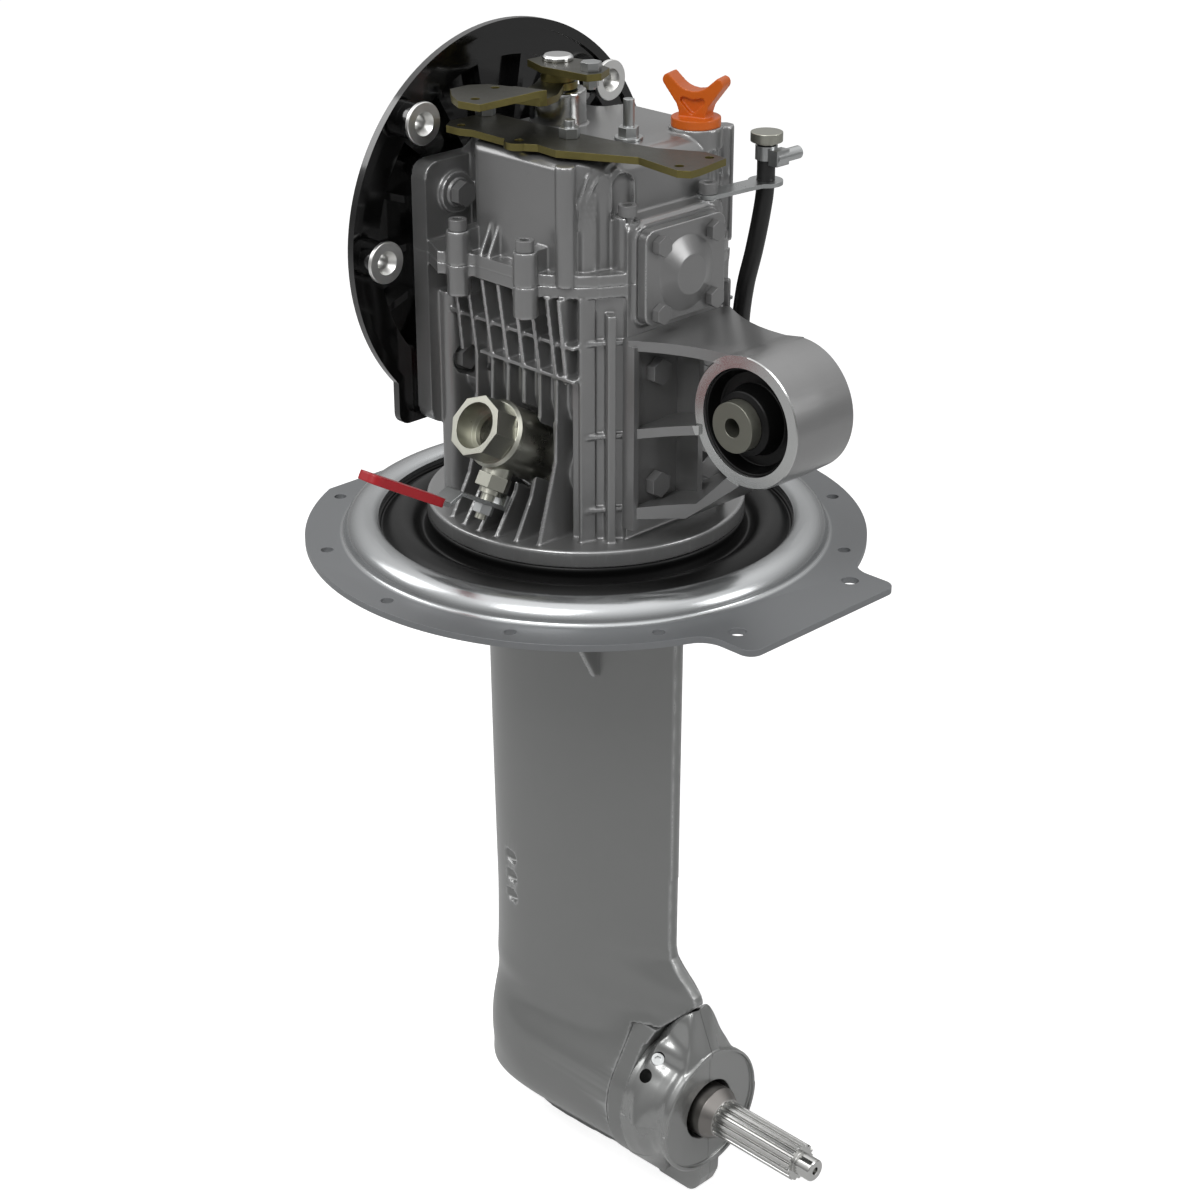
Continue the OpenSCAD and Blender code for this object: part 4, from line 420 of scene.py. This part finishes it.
def machined_faces(where):
    """1 on the turned neck of the shift shaft and on the faces of the mount's barrel, 0 elsewhere."""
    x, y, z = where.part(0), where.part(1), where.part(2)
    neck = (neck_r - ((x + neck_ahead) ** 2.0 + y ** 2.0) ** 0.5).above(0.0) * z.above(neck_low)
    barrel = (((barrel_r - ((x - barrel_x) ** 2.0 + (z - barrel_z) ** 2.0) ** 0.5) * barrel_sharp).clamped()
              * ((y.size() - barrel_half) * barrel_sharp).clamped())
    return (neck + barrel).clamped()


finish["casting_grey"] = paint("casting_grey", "858585", 0.32, 0.06, 0.05, 0.55, 0.35, machined_faces)
casting_grain, casting_most = 0.0010, 190000
put(cast_copy("casing_lower", "lower_housing", casting_grain, 2, casting_most), "lower_housing")

# The upper casing's aft shoulders: a fuller round, two ribs that bend down it from the top, and to
# port the rim of the hollow behind the cap screw
shoulder_lines = (
    (((52, -42, 289), (56, -52, 288), (58, -58, 272), (58, -58, 250), (58, -58, 229)), 12.0),
    (((64.2, -50.1, 301.3), (66.4, -62.4, 295), (64.6, -66, 285), (63.0, -69.2, 275), (63.2, -71.3, 266),
      (63.3, -72.3, 255), (63.3, -72.6, 229)), 1.5),
    (((67.3, -41, 299.6), (68.7, -49.4, 298), (68.5, -58, 290.1), (66.6, -62.9, 280.3), (65.6, -65.3, 271.6),
      (65.2, -66.2, 262.8), (65.1, -66.4, 250.8), (65.1, -66.5, 229)), 1.5),
    (((72, -46.9, 268), (72, -46.8, 280), (71.2, -46, 291.5), (70.4, -40.7, 295.6), (71.4, -34.6, 292.6),
      (71.9, -27.7, 287.9), (72, -24.9, 282.8), (72, -24.8, 264)), 1.1))
shoulder_ribs = []
for side, lines in ((1, shoulder_lines), (-1, shoulder_lines[:3])):
    for line, radius in lines:
        path = smooth_path([(x, side * y, z) for x, y, z in line], 6)
        shoulder_ribs.append(rod_along(path / 1000, radius / 1000, 20))


block_top, wall_x, wall_reach = 262.0, 72, 12
hollow_y, hollow_z, hollow_half, hollow_high, hollow_deep = -35.9, 283, 10, 9, 5.5


def screw_hollow(co):
    """Presses a round hollow, closed at its top by a quarter ball, into the aft wall over the cap screw."""
    across, over = co[:, 1] - hollow_y, np.maximum(0.0, co[:, 2] - hollow_z)
    deep = hollow_deep * np.sqrt(np.maximum(0.0, 1 - (across / hollow_half) ** 2 - (over / hollow_high) ** 2))
    near = (co[:, 0] > wall_x - wall_reach) & (co[:, 2] > block_top + 0.5) & (deep > 0)
    co[:, 0] = np.where(near, np.minimum(co[:, 0], wall_x - deep), co[:, 0])
    return co


put(cast_copy("casing_upper", "upper_housing", casting_grain, 2, casting_most, shoulder_ribs, screw_hollow),
    "upper_housing")

# Leg: one smooth casting, painted a slightly warmer satin grey, with the bearing carrier of the
# propeller shaft bolted into its aft end. Its skin is a foil whose lower part swells into a gear case
leg_lead, leg_half, leg_trail, leg_trail_half = 95.5, 39.0, 98.0, 4.0
prop_depth, gear_case_r, keel_depth, flare_depth = 458.0, 54.0, 91.0, 330.0
widest_foil, widest_case = -30.0, -20.0
# Gear case: how far it is round above the shaft, its half width and taper over that, and the same
# below the shaft, where it is first drawn in by keel_tuck along a curve of keel_power
case_round, case_top, case_top_taper, case_top_least = 32, 43.5, 0.62, 4
keel_round, keel_tuck, keel_power, keel_taper, keel_least = 42, 10.6, 2.2, 0.95, 1.5


def case_half(d):
    """Half width of the gear case, d mm above or below the shaft: round at its sides, tapered above
    into the leg and below into the keel."""
    above = np.where(d < case_round, np.sqrt(np.maximum(gear_case_r ** 2 - d * d, 0)),
                     np.maximum(case_top_least, case_top - case_top_taper * (d - case_round)))
    low = np.maximum(-d, 0)
    below = np.where(low < keel_round, gear_case_r - keel_tuck * (low / keel_round) ** keel_power,
                     np.maximum(keel_least, gear_case_r - keel_tuck - keel_taper * (low - keel_round)))
    return np.where(d >= 0, above, below)


# Foil: how its nose and its tail move on the way down and over the gear case, how its half width
# shrinks, the curve of its after part and the depth from which it fades out
nose_out, nose_draw, nose_flare, nose_run = 2.1, 4.4, 2.2, 100
half_share, half_loss, trail_draw, case_trail, trail_run = 1.03, 0.07, 2.5, 128, 37
aft_power, foil_end, foil_fade = 1.9, 395, 50
# Gear case along the shaft: its front and how that rounds into the keel, the keel's rise aft, the
# squareness of its nose, where the case swells out of the foil and where it thins out aft
case_front, front_round, front_power = -95.4, 52, 10
keel_rise, rise_start, rise_run = 6, 30, 110
square, square_start, square_run = 0.6, 0.22, 0.33
swell_start, swell_run, thin_share, thin_start, thin_run = 360, 30, 0.9, 78, 60


def leg_half_squared(x, depth):
    """Square of the leg's half width at x and a depth below the ring, negative ahead of its nose: a
    foil, parabolic ahead of its widest place and a power curve aft of it, joined as the root of the
    sum of squares to a gear case whose nose is a superellipse."""
    down = np.minimum(1, depth / flare_depth)
    lead = leg_lead + nose_out - nose_draw * down ** 2 + nose_flare * ease((depth - flare_depth) / nose_run)
    half = leg_half * (half_share - half_loss * down)
    trail = leg_trail - trail_draw * depth / flare_depth
    trail = trail + (case_trail - leg_trail) * ease((depth - flare_depth) / trail_run)
    aft = np.maximum(0, 1 - (np.maximum(0, x - widest_foil) / (trail - widest_foil)) ** aft_power)
    foil = np.where(x < widest_foil, half ** 2 * (1 - ((widest_foil - x) / (widest_foil + lead)) ** 2),
                    (leg_trail_half + (half - leg_trail_half) * aft) ** 2)
    foil = foil * (1 - ease((depth - foil_end) / foil_fade)) ** 2
    share = np.clip((depth - prop_depth) / (keel_depth - keel_rise * ease((x + rise_start) / rise_run)), 0, 1)
    front = np.where(depth < prop_depth, -lead, case_front + front_round * share ** front_power)
    power = 2 + square * ease((share - square_start) / square_run)
    ahead = np.maximum(0, widest_case - x) / (widest_case - front)
    nose = 1 - ahead ** power
    nose = np.sign(nose) * np.abs(nose) ** (2 / power)
    thinned = 1 - thin_share * ease((x - thin_start) / thin_run)
    swell = np.where(depth < prop_depth, ease((depth - swell_start) / swell_run)
                     * case_half(np.maximum(prop_depth - depth, 0)) * thinned, case_half(-share * keel_depth))
    case = swell ** 2 * nose
    joined = np.sqrt(np.maximum(foil, 0) ** 2 + np.maximum(case, 0) ** 2)
    return joined + np.minimum(foil, 0) + np.minimum(case, 0)


carrier_gap = 0.4


def carrier_half_squared(x, depth):
    """Square of the carrier's half width: a little less than the gear case's, drawn on straight aft."""
    return (case_half(prop_depth - depth) - carrier_gap) ** 2


# A point is drawn all the way from up to skin_reach off the skin and less over the next skin_fade,
# between the depths skin_top and skin_low
skin_reach, skin_fade, skin_top, top_fade = 1.2, 0.7, 13, 6
skin_low, low_margin, low_fade = prop_depth + 84, 4, 8
# The skin is the mean of the formula at these steps of depth, each with its share
eased_depths = ((-8, 1), (-4, 2), (0, 3), (4, 2), (8, 1))
eased_total = sum(share for shift, share in eased_depths)
draws, longest_draw, slope_step, least_slope = 2, 2, 0.3, 1.0


def drawn_onto(half_squared):
    """A shape that draws the points of a casting that lie near the skin that half_squared gives onto
    that skin: each step goes down the slope of the square of y less the formula's."""
    def gap(co):
        total = 0
        for shift, share in eased_depths:
            depth = np.clip(-co[:, 2] + shift, 0, skin_low)
            total = total + share * half_squared(co[:, 0], depth) / eased_total
        return co[:, 1] ** 2 - total

    def shape(co):
        start = co.copy()
        for _ in range(draws):
            value = gap(co)
            slope = np.stack([(gap(co + step) - gap(co - step)) / (2 * slope_step)
                              for step in slope_step * np.eye(3)], 1)
            move = -(value / np.maximum((slope ** 2).sum(1), least_slope))[:, None] * slope
            length = np.maximum(np.linalg.norm(move, axis=1), 1e-6)
            co = co + move * np.minimum(1, longest_draw / length)[:, None]
        far = np.linalg.norm(co - start, axis=1)
        keep = ((1 - ease((far - skin_reach) / skin_fade)) * ease((-start[:, 2] - skin_top) / top_fade)
                * ease((skin_low - low_margin + start[:, 2]) / low_fade))
        return start + (co - start) * keep[:, None]
    return shape


leg_grain, carrier_grain, carrier_most = 0.0016, 0.0009, 90000
finish["leg_grey"] = paint("leg_grey", "7b7c7b", 0.33, 0.02, 0.03, 0.4, 0.3)
put(cast_copy("leg_case", "leg_casting", leg_grain, 5, casting_most,
              shape=drawn_onto(leg_half_squared)), "leg_casting")
put(cast_copy("carrier_case", "bearing_carrier", carrier_grain, 3, carrier_most,
              shape=drawn_onto(carrier_half_squared)), "bearing_carrier")

# Rear cover: a small casting of the same paint, bolted to the casings' aft wall
put(cast_copy("cover_case", "rear_cover", 0.0006, 3, 60000), "rear_cover")


# Hull ring: pressed alloy sheet with a rolled bead. The flat is satin, the bead is rubbed bright
level_angle, edge_angle, edge_steps = math.radians(1.0), math.radians(30.0), 2


def machined(node, rounding):
    """A node as a machined piece: level triangles joined into faces, and its sharp edges rounded."""
    piece = new_piece(node + "_made", *node_mesh(node))
    work = bmesh.new()
    work.from_mesh(piece.data)
    bmesh.ops.dissolve_limit(work, angle_limit=level_angle, verts=work.verts, edges=work.edges,
                             use_dissolve_boundaries=False)
    work.to_mesh(piece.data)
    work.free()
    piece.data.polygons.foreach_set("use_smooth", [True] * len(piece.data.polygons))
    edge = piece.modifiers.new("edge", "BEVEL")
    edge.width, edge.segments = rounding, edge_steps
    edge.limit_method, edge.angle_limit = "ANGLE", edge_angle
    edge.use_clamp_overlap = True
    edge.harden_normals = True
    return put(settle(piece, None), node)


bead_r, bead_sharp = 0.1835, 400.0
made, where = start_finish("ring_alloy")
from_axis = (where.part(0) ** 2.0 + where.part(1) ** 2.0) ** 0.5
bead = ((bead_r - from_axis) * bead_sharp).clamped()
cloud, fine = noise(where, *cast_cloud), noise(where, *cast_fine)
close_finish(where, where.add("BsdfPrincipled", (), {
    "Base Color": mixed(where, bead, shaded(where, cloud, linear("76787a"), 0.04), (*linear("aeb0b1"), 1.0)),
    "Metallic": 0.25 + bead * 0.6, "Roughness": 0.4 - bead * 0.16 + (cloud - 0.5) * 0.08,
    "Normal": where.add("Bump", (), {"Strength": 0.03, "Distance": 0.0003, "Height": fine}),
    "Coat Weight": 0.08, "Coat Roughness": coat_rough}))
finish["ring_alloy"] = made
machined("hull_ring", 0.0006)


# Diaphragm: a moulded ring of black rubber, clamped under the base disc and in the hull ring's
# groove, with one full roll between them
def revolved(profile, sides):
    """Points and four-cornered faces of a closed profile of (radius, height) turned about Z."""
    profile = np.asarray(profile, float)
    angle = np.linspace(0, 2 * math.pi, sides, endpoint=False)[:, None]
    points = np.stack([profile[:, 0] * np.cos(angle), profile[:, 0] * np.sin(angle),
                       profile[:, 1] + 0 * angle], -1).reshape(-1, 3)
    rows = len(profile)
    i, j = np.meshgrid(np.arange(sides), np.arange(rows), indexing="ij")
    a, b = i * rows + j, i * rows + (j + 1) % rows
    c, d = (i + 1) % sides * rows + (j + 1) % rows, (i + 1) % sides * rows + j
    return points, np.stack([a, b, c, d], -1).reshape(-1, 4)


mould_cloud, mould_fine, mould_gloss, bump_deep = (25.0, 4.0), (2200.0, 2.0, 0.5), 0.14, 0.0002


def moulded(name, code, rough, grain, spread, shine=0.5):
    """Rubber or plastic: no metal, a fine mould grain and slight clouds in the gloss."""
    made, where = start_finish(name)
    cloud, fine = noise(where, *mould_cloud), noise(where, *mould_fine)
    close_finish(where, where.add("BsdfPrincipled", (), {
        "Base Color": shaded(where, cloud, linear(code), spread),
        "Roughness": rough + (cloud - 0.5) * mould_gloss,
        "Specular IOR Level": shine,
        "Normal": where.add("Bump", (), {"Strength": grain, "Distance": bump_deep, "Height": fine})}))
    return made


finish["rubber"] = moulded("rubber", "090909", 0.4, 0.06, 0.12, 0.22)
# The rubber's upper face from the casing's edge out, and its lower face back: (radius, height)
upper_line = smooth_path([
    (106.2, 20.2, 0), (117.4, 20.2, 0), (118.2, 13.0, 0), (120.2, 7.2, 0), (123.6, 7.6, 0), (129.5, 13.6, 0),
    (136.8, 16.2, 0), (144.0, 13.8, 0), (149.6, 9.4, 0), (152.4, 8.4, 0), (154.4, 10.7, 0),
    (165.6, 10.6, 0)], 8)[:, :2]
lower_line = smooth_path([
    (165.6, 4.3, 0), (152.0, 4.2, 0), (145.0, 7.6, 0), (137.0, 11.2, 0), (130.5, 8.8, 0), (125.0, 2.4, 0),
    (120.4, 1.6, 0), (117.6, 3.4, 0), (116.8, 8.3, 0), (106.2, 8.3, 0)], 6)[:, :2]
roll_sides = 180
roll = new_piece("diaphragm_made", *revolved(np.vstack([upper_line, lower_line])[::-1] / 1000, roll_sides))
put(settle(roll), "diaphragm")

# Engine adapter: a ribbed cast plate in gloss black enamel, with four turned bushings pressed in for
# the engine's bolts
finish["adapter_black"] = paint("adapter_black", "060606", 0.1, 0.015, 0.1, metallic=0.0, coat=0.5)


metal_cloud, metal_fine, metal_gloss, metal_speck = (40.0, 5.0, 0.65), (900.0, 3.0), 0.14, 0.08


def metal(name, code, rough, grain, spread, metallic=1.0):
    """A metal surface: colour and gloss vary a little with a fine and a coarse noise."""
    made, where = start_finish(name)
    cloud, fine = noise(where, *metal_cloud), noise(where, *metal_fine)
    close_finish(where, where.add("BsdfPrincipled", (), {
        "Base Color": shaded(where, cloud, linear(code), spread), "Metallic": metallic,
        "Roughness": rough + (cloud - 0.5) * metal_gloss + (fine - 0.5) * metal_speck,
        "Normal": where.add("Bump", (), {"Strength": grain, "Distance": bump_deep, "Height": fine})}))
    return made


finish["turned_aluminium"] = metal("turned_aluminium", "dcdcda", 0.34, 0.06, 0.03)
machined("engine_adapter", 0.0008)
bushing_x, bushing_bore, bushing_boss, bushing_flange, bushing_l = -65.0, 5.25, 10.0, 15.0, 20.0
cone_r, cone_deep, flange_l, bushing_sides = 8.5, 5, 3, 72
bushing_places = ((129.0, 220.0), (91.2168, 311.2168), (-91.2168, 311.2168), (-129.0, 220.0))
line, around = revolved([(bushing_bore, -cone_deep - 0.4), (bushing_bore + 0.2, -cone_deep), (cone_r, 0),
                         (bushing_flange - 0.5, 0), (bushing_flange, -0.5), (bushing_flange, 0.4 - flange_l),
                         (bushing_flange - 0.4, -flange_l), (bushing_boss, -flange_l),
                         (bushing_boss, -bushing_l), (bushing_bore, -bushing_l)], bushing_sides)
bushings = new_piece("adapter_bushings_made", np.vstack(
    [np.stack([bushing_x + line[:, 2], y + line[:, 0], z + line[:, 1]], 1) / 1000
     for y, z in bushing_places]),
    np.vstack([around + i * len(line) for i in range(len(bushing_places))]))
put(settle(bushings), "adapter_bushings")

# Rear mount's bracket: a back plate, webs and a barrel in one casting, machined at the barrel's faces
machined("mount_bracket", 0.0009)

# Screws and bolts: the casing's own are painted over with it, those of the leg are bright zinc
finish["painted_bolts"] = paint("painted_bolts", "7a7a7a", 0.32, 0.03, 0.04)
finish["zinc_bright"] = metal("zinc_bright", "aeb0b0", 0.3, 0.08, 0.05)
bolt_rounding = 0.0005
for node in ("adapter_bolts", "split_screws", "rear_cover_bolts", "bracket_bolts", "leg_bolts"):
    machined(node, bolt_rounding)

# Rear mount's bush: black rubber bonded round a zinc plated sleeve, pressed into the bracket
finish["zinc_dark"] = metal("zinc_dark", "77776e", 0.42, 0.15, 0.1, 0.8)
machined("bush_rubber", 0.0014)
machined("bush_sleeve", 0.0006)

# Sea-water valve: nickel plated brass ball valve, with a steel lever in a red dipped grip
finish["nickel"] = metal("nickel", "a9a99f", 0.3, 0.05, 0.04)
finish["chrome"] = metal("chrome", "e0e0e0", 0.1, 0.03, 0.03)
finish["seat_white"] = moulded("seat_white", "e8e8e4", 0.4, 0.03, 0.02)
finish["red_vinyl"] = moulded("red_vinyl", "a8141f", 0.36, 0.06, 0.06)
for node, rounding in (("valve_body", 0.0007), ("valve_end", 0.0005), ("gland_nut", 0.0004),
                       ("valve_lever", 0.0006), ("lever_nut", 0.0004)):
    machined(node, rounding)
put(cast_copy("grip_made", "lever_grip", 0.0005, 5, 40000), "lever_grip")

# Filler: an orange moulded cap with a winged handle, on a steel dipstick
finish["orange_plastic"] = moulded("orange_plastic", "cf600c", 0.36, 0.05, 0.04)
put(cast_copy("cap_made", "filler_cap", 0.0006, 4, 60000), "filler_cap")

# Shift gear: olive chromated plates, painted darker on their level faces and lighter and brassier on
# their sides as painted shade and sheen, on a turned steel shaft with a bright cap
level_sharp, level_start = 3.0, 1.6
made, where = start_finish("yellow_zinc")
cloud, fine = noise(where, 60.0, 5.0, 0.65), noise(where, *metal_fine)
# Painted shade and sheen on one plating: faces that look up or down get a darker olive, faces that look
# sideways a lighter, brassier one
level = (where.add("TexCoord", out="Normal").part(2).size() * level_sharp - level_start).clamped()
close_finish(where, where.add("BsdfPrincipled", (), {
    "Base Color": mixed(where, level, shaded(where, cloud, linear("766e42"), 0.12),
                        shaded(where, cloud, linear("403f36"), 0.16)),
    "Metallic": 0.9, "Roughness": 0.36 + (cloud - 0.5) * 0.2 + (fine - 0.5) * 0.1,
    "Normal": where.add("Bump", (), {"Strength": 0.2, "Distance": bump_deep, "Height": fine})}))
finish["yellow_zinc"] = made
for node in ("shift_lever", "lever_plate", "cable_bracket", "clamp_bolt", "bracket_studs", "shaft_cap"):
    machined(node, bolt_rounding)

# Propeller shaft: ground steel with a dark seal sleeve, a bright spline and a plain stub
sleeve_end, sleeve_sharp = 0.1545, 900.0
made, where = start_finish("shaft_steel")
cloud, fine = noise(where, *metal_cloud), noise(where, *metal_fine)
sleeve = ((sleeve_end - where.part(0)) * sleeve_sharp).clamped()
close_finish(where, where.add("BsdfPrincipled", (), {
    "Base Color": mixed(where, sleeve, shaded(where, cloud, linear("c2c2c0"), 0.04),
                        shaded(where, cloud, linear("7d7a77"), 0.06)),
    "Metallic": 1.0, "Roughness": 0.14 + sleeve * 0.2 + (cloud - 0.5) * 0.08,
    "Normal": where.add("Bump", (), {"Strength": 0.05, "Distance": bump_deep, "Height": fine})}))
finish["shaft_steel"] = made
machined("prop_shaft", 0.0004)

# Anode: two halves of cast zinc round the propeller shaft, painted with a fairly glossy grey, with
# fluted lugs above and below and a shallow round face. A socket screw holds each in a pocket
anode_start, anode_l, anode_hole, anode_rim = 92.3, 47.0, 25.0, 52.0
finish["anode_zinc"] = paint("anode_zinc", "919291", 0.24, 0.03, 0.04, 0.7, 0.3)
soft_share = 0.35


def soft_max(one, two, soft):
    """The greater of two values, with a fillet of about the soft size where they meet."""
    return np.maximum(one, two) + soft * np.exp(-np.abs(one - two) / soft) * soft_share


# Waist: its radius, its dip behind the front and its rise aft. Wedge: its lower radius and how that
# leans out, its height in front and at most, its fall aft, and its flutes' depth, spacing and spread.
# Keel: its upper radius, how that swells down to the corner, and the straight side under it. Lug: its
# end, half its width and the rounding of its end
waist_r, waist_dip, waist_rise = 53.5, 4, 2.5
wedge_r, wedge_lean, wedge_top, wedge_tall, wedge_aft = 63.3, 0.62, 54, 90.0, 2.6
flute_deep, flute_gap, flute_spread = -3.0, 16, 28
keel_r, keel_swell, keel_corner, keel_side, keel_lean = 53.3, 6.4, 44, 83.3, 0.95
lug_r, lug_half, lug_round = 80.5, 9.5, 17
anode_rows, anode_steps, half_gap = 181, 56, 0.15
# The rim's rounding, then the face down to the hole and the hole: radii, and t from the aft end
rim_fall, rim_t = (-0.5, -1.1, -2.1), (-0.5, -0.1, 0)
face_r = (49.7, 49.3, 48.9, anode_hole + 0.6, anode_hole, anode_hole)
face_t = (-0.3, -2.3, -2.6, -2.6, -3.2)


def anode_reach(a, t):
    """Radius of the anode at an angle above the level in degrees, t mm behind its front: a waist, with
    a fluted wedge over it that rises aft and falls to the rim, and a narrow keel lug below."""
    s, c = np.sin(np.radians(np.abs(a))), np.cos(np.radians(a))
    top = np.minimum(np.minimum(wedge_top + 3.1 * np.maximum(t - 3, 0), wedge_top + 4 + t),
                     np.minimum(wedge_tall, 51.5 + wedge_aft * (anode_l - t)))
    aft = np.maximum(0, t - anode_l + lug_round) / (lug_round + 0.1)
    low = anode_rim + (lug_r - anode_rim) * np.sqrt(np.maximum(0, 1 - aft ** 2))
    waist = waist_r - waist_dip * ease((t - 14) / 14) + waist_rise * ease((t - 33) / 12)
    off = 90 - np.abs(a)
    flutes = (flute_deep * np.cos(2 * np.pi * off / flute_gap) * np.exp(-(off / flute_spread) ** 2)
              * np.sin(np.pi * np.clip((t - 1) / 44, 0, 1)))
    wedge = wedge_r / (c + wedge_lean * s)
    wedge = wedge + (waist - wedge) * ease((t - 7) / 30) * ease((off - 6) / 34)
    above = -soft_max(-wedge, -top * (1 - 0.2 * ease(off / 50)), 3.0) + flutes
    keel = np.where(np.abs(a) < keel_corner, keel_r + keel_swell * (a / keel_corner) ** 2,
                    keel_side / (c + keel_lean * s))
    keel = keel + (waist - keel) * ease((t - 3) / 24)
    below = -soft_max(-np.maximum(keel, lug_half / np.maximum(c, 0.01)), -low / np.maximum(s, 0.01), 2.0)
    return soft_max(waist, np.where(a > 0, above, below), 2.5)


def anode_half(name, side):
    """One half: a closed line of (t, radius), from the bore over the outside and the rim to the face
    and back, carried round from the top to the bottom of its side."""
    a = np.linspace(90, -90, anode_rows)[:, None]
    t = np.concatenate([[0, 0.5], np.linspace(1.5, anode_l - 1.2, anode_steps)])[None]
    outer = anode_reach(a, t)
    edge = outer[:, -1:] + np.array([rim_fall])
    inner = np.ones_like(a) * np.array([face_r])
    radius = np.hstack([outer, edge, inner])
    along = np.concatenate([t[0], anode_l + np.array(rim_t), anode_l + np.array(face_t), [0]])
    rows, count = radius.shape
    points = np.stack([anode_start + along + 0 * radius, side * (radius * np.cos(np.radians(a)) + half_gap),
                       radius * np.sin(np.radians(a)) - prop_depth], -1).reshape(-1, 3) / 1000
    i, j = np.meshgrid(np.arange(rows - 1), np.arange(count), indexing="ij")
    k, step = i * count, (j + 1) % count
    around = np.stack([k + j, k + count + j, k + count + step, k + step], -1).reshape(-1, 4)[:, ::side]
    first = np.arange(count)[None, ::-side]
    last = (rows - 1) * count + np.arange(count)[None, ::side]
    return new_piece(name, points, around, first, last)


# Two pockets in each half: (t behind its front, angle, radius, how far the pocket leans aft). The
# screw sits in the second, and comes from its place in the CAD mesh
pockets = ((13.5, 42.0, 5.6, 0.3), (17.0, 58.2, 5.3, 0.6))
pocket_deep, drill_out, drill_sides, screw_deep = 7, 20, 40, 6.6
screw_t, screw_y, screw_z = 14, 30, 34
screw_points, screw_faces = node_mesh("anode_screws")
screw_points = screw_points * 1000
turned = []
for side, node in ((-1, "anode_port"), (1, "anode_starboard")):
    half = anode_half(node + "_made", side)
    for t, a, radius, lean in pockets:
        outward = np.array([0, side * math.cos(math.radians(a)), math.sin(math.radians(a))])
        reach = float(anode_reach(np.array(a), np.array(t)))
        centre = np.array([anode_start + t, 0, -prop_depth]) + outward * reach
        aim = outward + lean * np.array([1.0, 0, 0])
        aim /= np.linalg.norm(aim)
        path = np.array([centre - pocket_deep * aim, centre + drill_out * aim]) / 1000
        drill = new_piece("drill", *rod_along(path, radius / 1000, drill_sides))
        cut = half.modifiers.new("pocket", "BOOLEAN")
        cut.operation, cut.object, cut.solver = "DIFFERENCE", drill, "EXACT"
        settle(half)
        bpy.data.objects.remove(drill)
    mine = screw_points[:, 1] * side > 0
    local = screw_points[mine] - np.array([anode_start + screw_t, side * screw_y, screw_z - prop_depth])
    across = np.cross(aim, [0, 0, 1.0])
    across /= np.linalg.norm(across)
    moved = np.full_like(screw_points, np.nan)
    moved[mine] = centre - screw_deep * aim + local @ np.array([aim, across, np.cross(aim, across)])
    turned.append(moved)
    put(settle(half, 30.0), node)
screws = new_piece("anode_screws_made", np.where(np.isnan(turned[0]), turned[1], turned[0]) / 1000,
                   screw_faces)
put(settle(screws, 30.0), "anode_screws")

# Oil hose: black rubber from the lower casing to a plug, in a worm clamp and a strap
finish["hose_rubber"] = moulded("hose_rubber", "141414", 0.36, 0.04, 0.1)
hose_line = smooth_path([(60, 79, 90), (60.2, 87, 91.5), (63, 91, 106), (73, 87.5, 136), (78.6, 79.4, 162),
                         (81.6, 80.2, 190), (84.3, 85.5, 216), (85.7, 91, 243), (85.9, 93.7, 262),
                         (85.9, 93.7, 290.7)], 10) / 1000
hose_r, hose_sides = 0.0065, 32
hose = new_piece("oil_hose_made", *rod_along(hose_line, hose_r, hose_sides))
put(settle(hose, 60.0), "oil_hose")
for node in ("hose_plug", "hose_clamp", "hose_strap"):
    machined(node, 0.0006)

# Inside: gears, shafts, bearings, clutch and fork of machined steel and bronze, and rubber seals
finish["steel"] = metal("steel", "bcbcba", 0.3, 0.15, 0.06)
finish["bronze"] = metal("bronze", "b08d57", 0.35, 0.15, 0.08)

for node, solid in frame["nodes"].items():
    for place in solid.material_slots:
        place.material = finish[record_slot[node]]
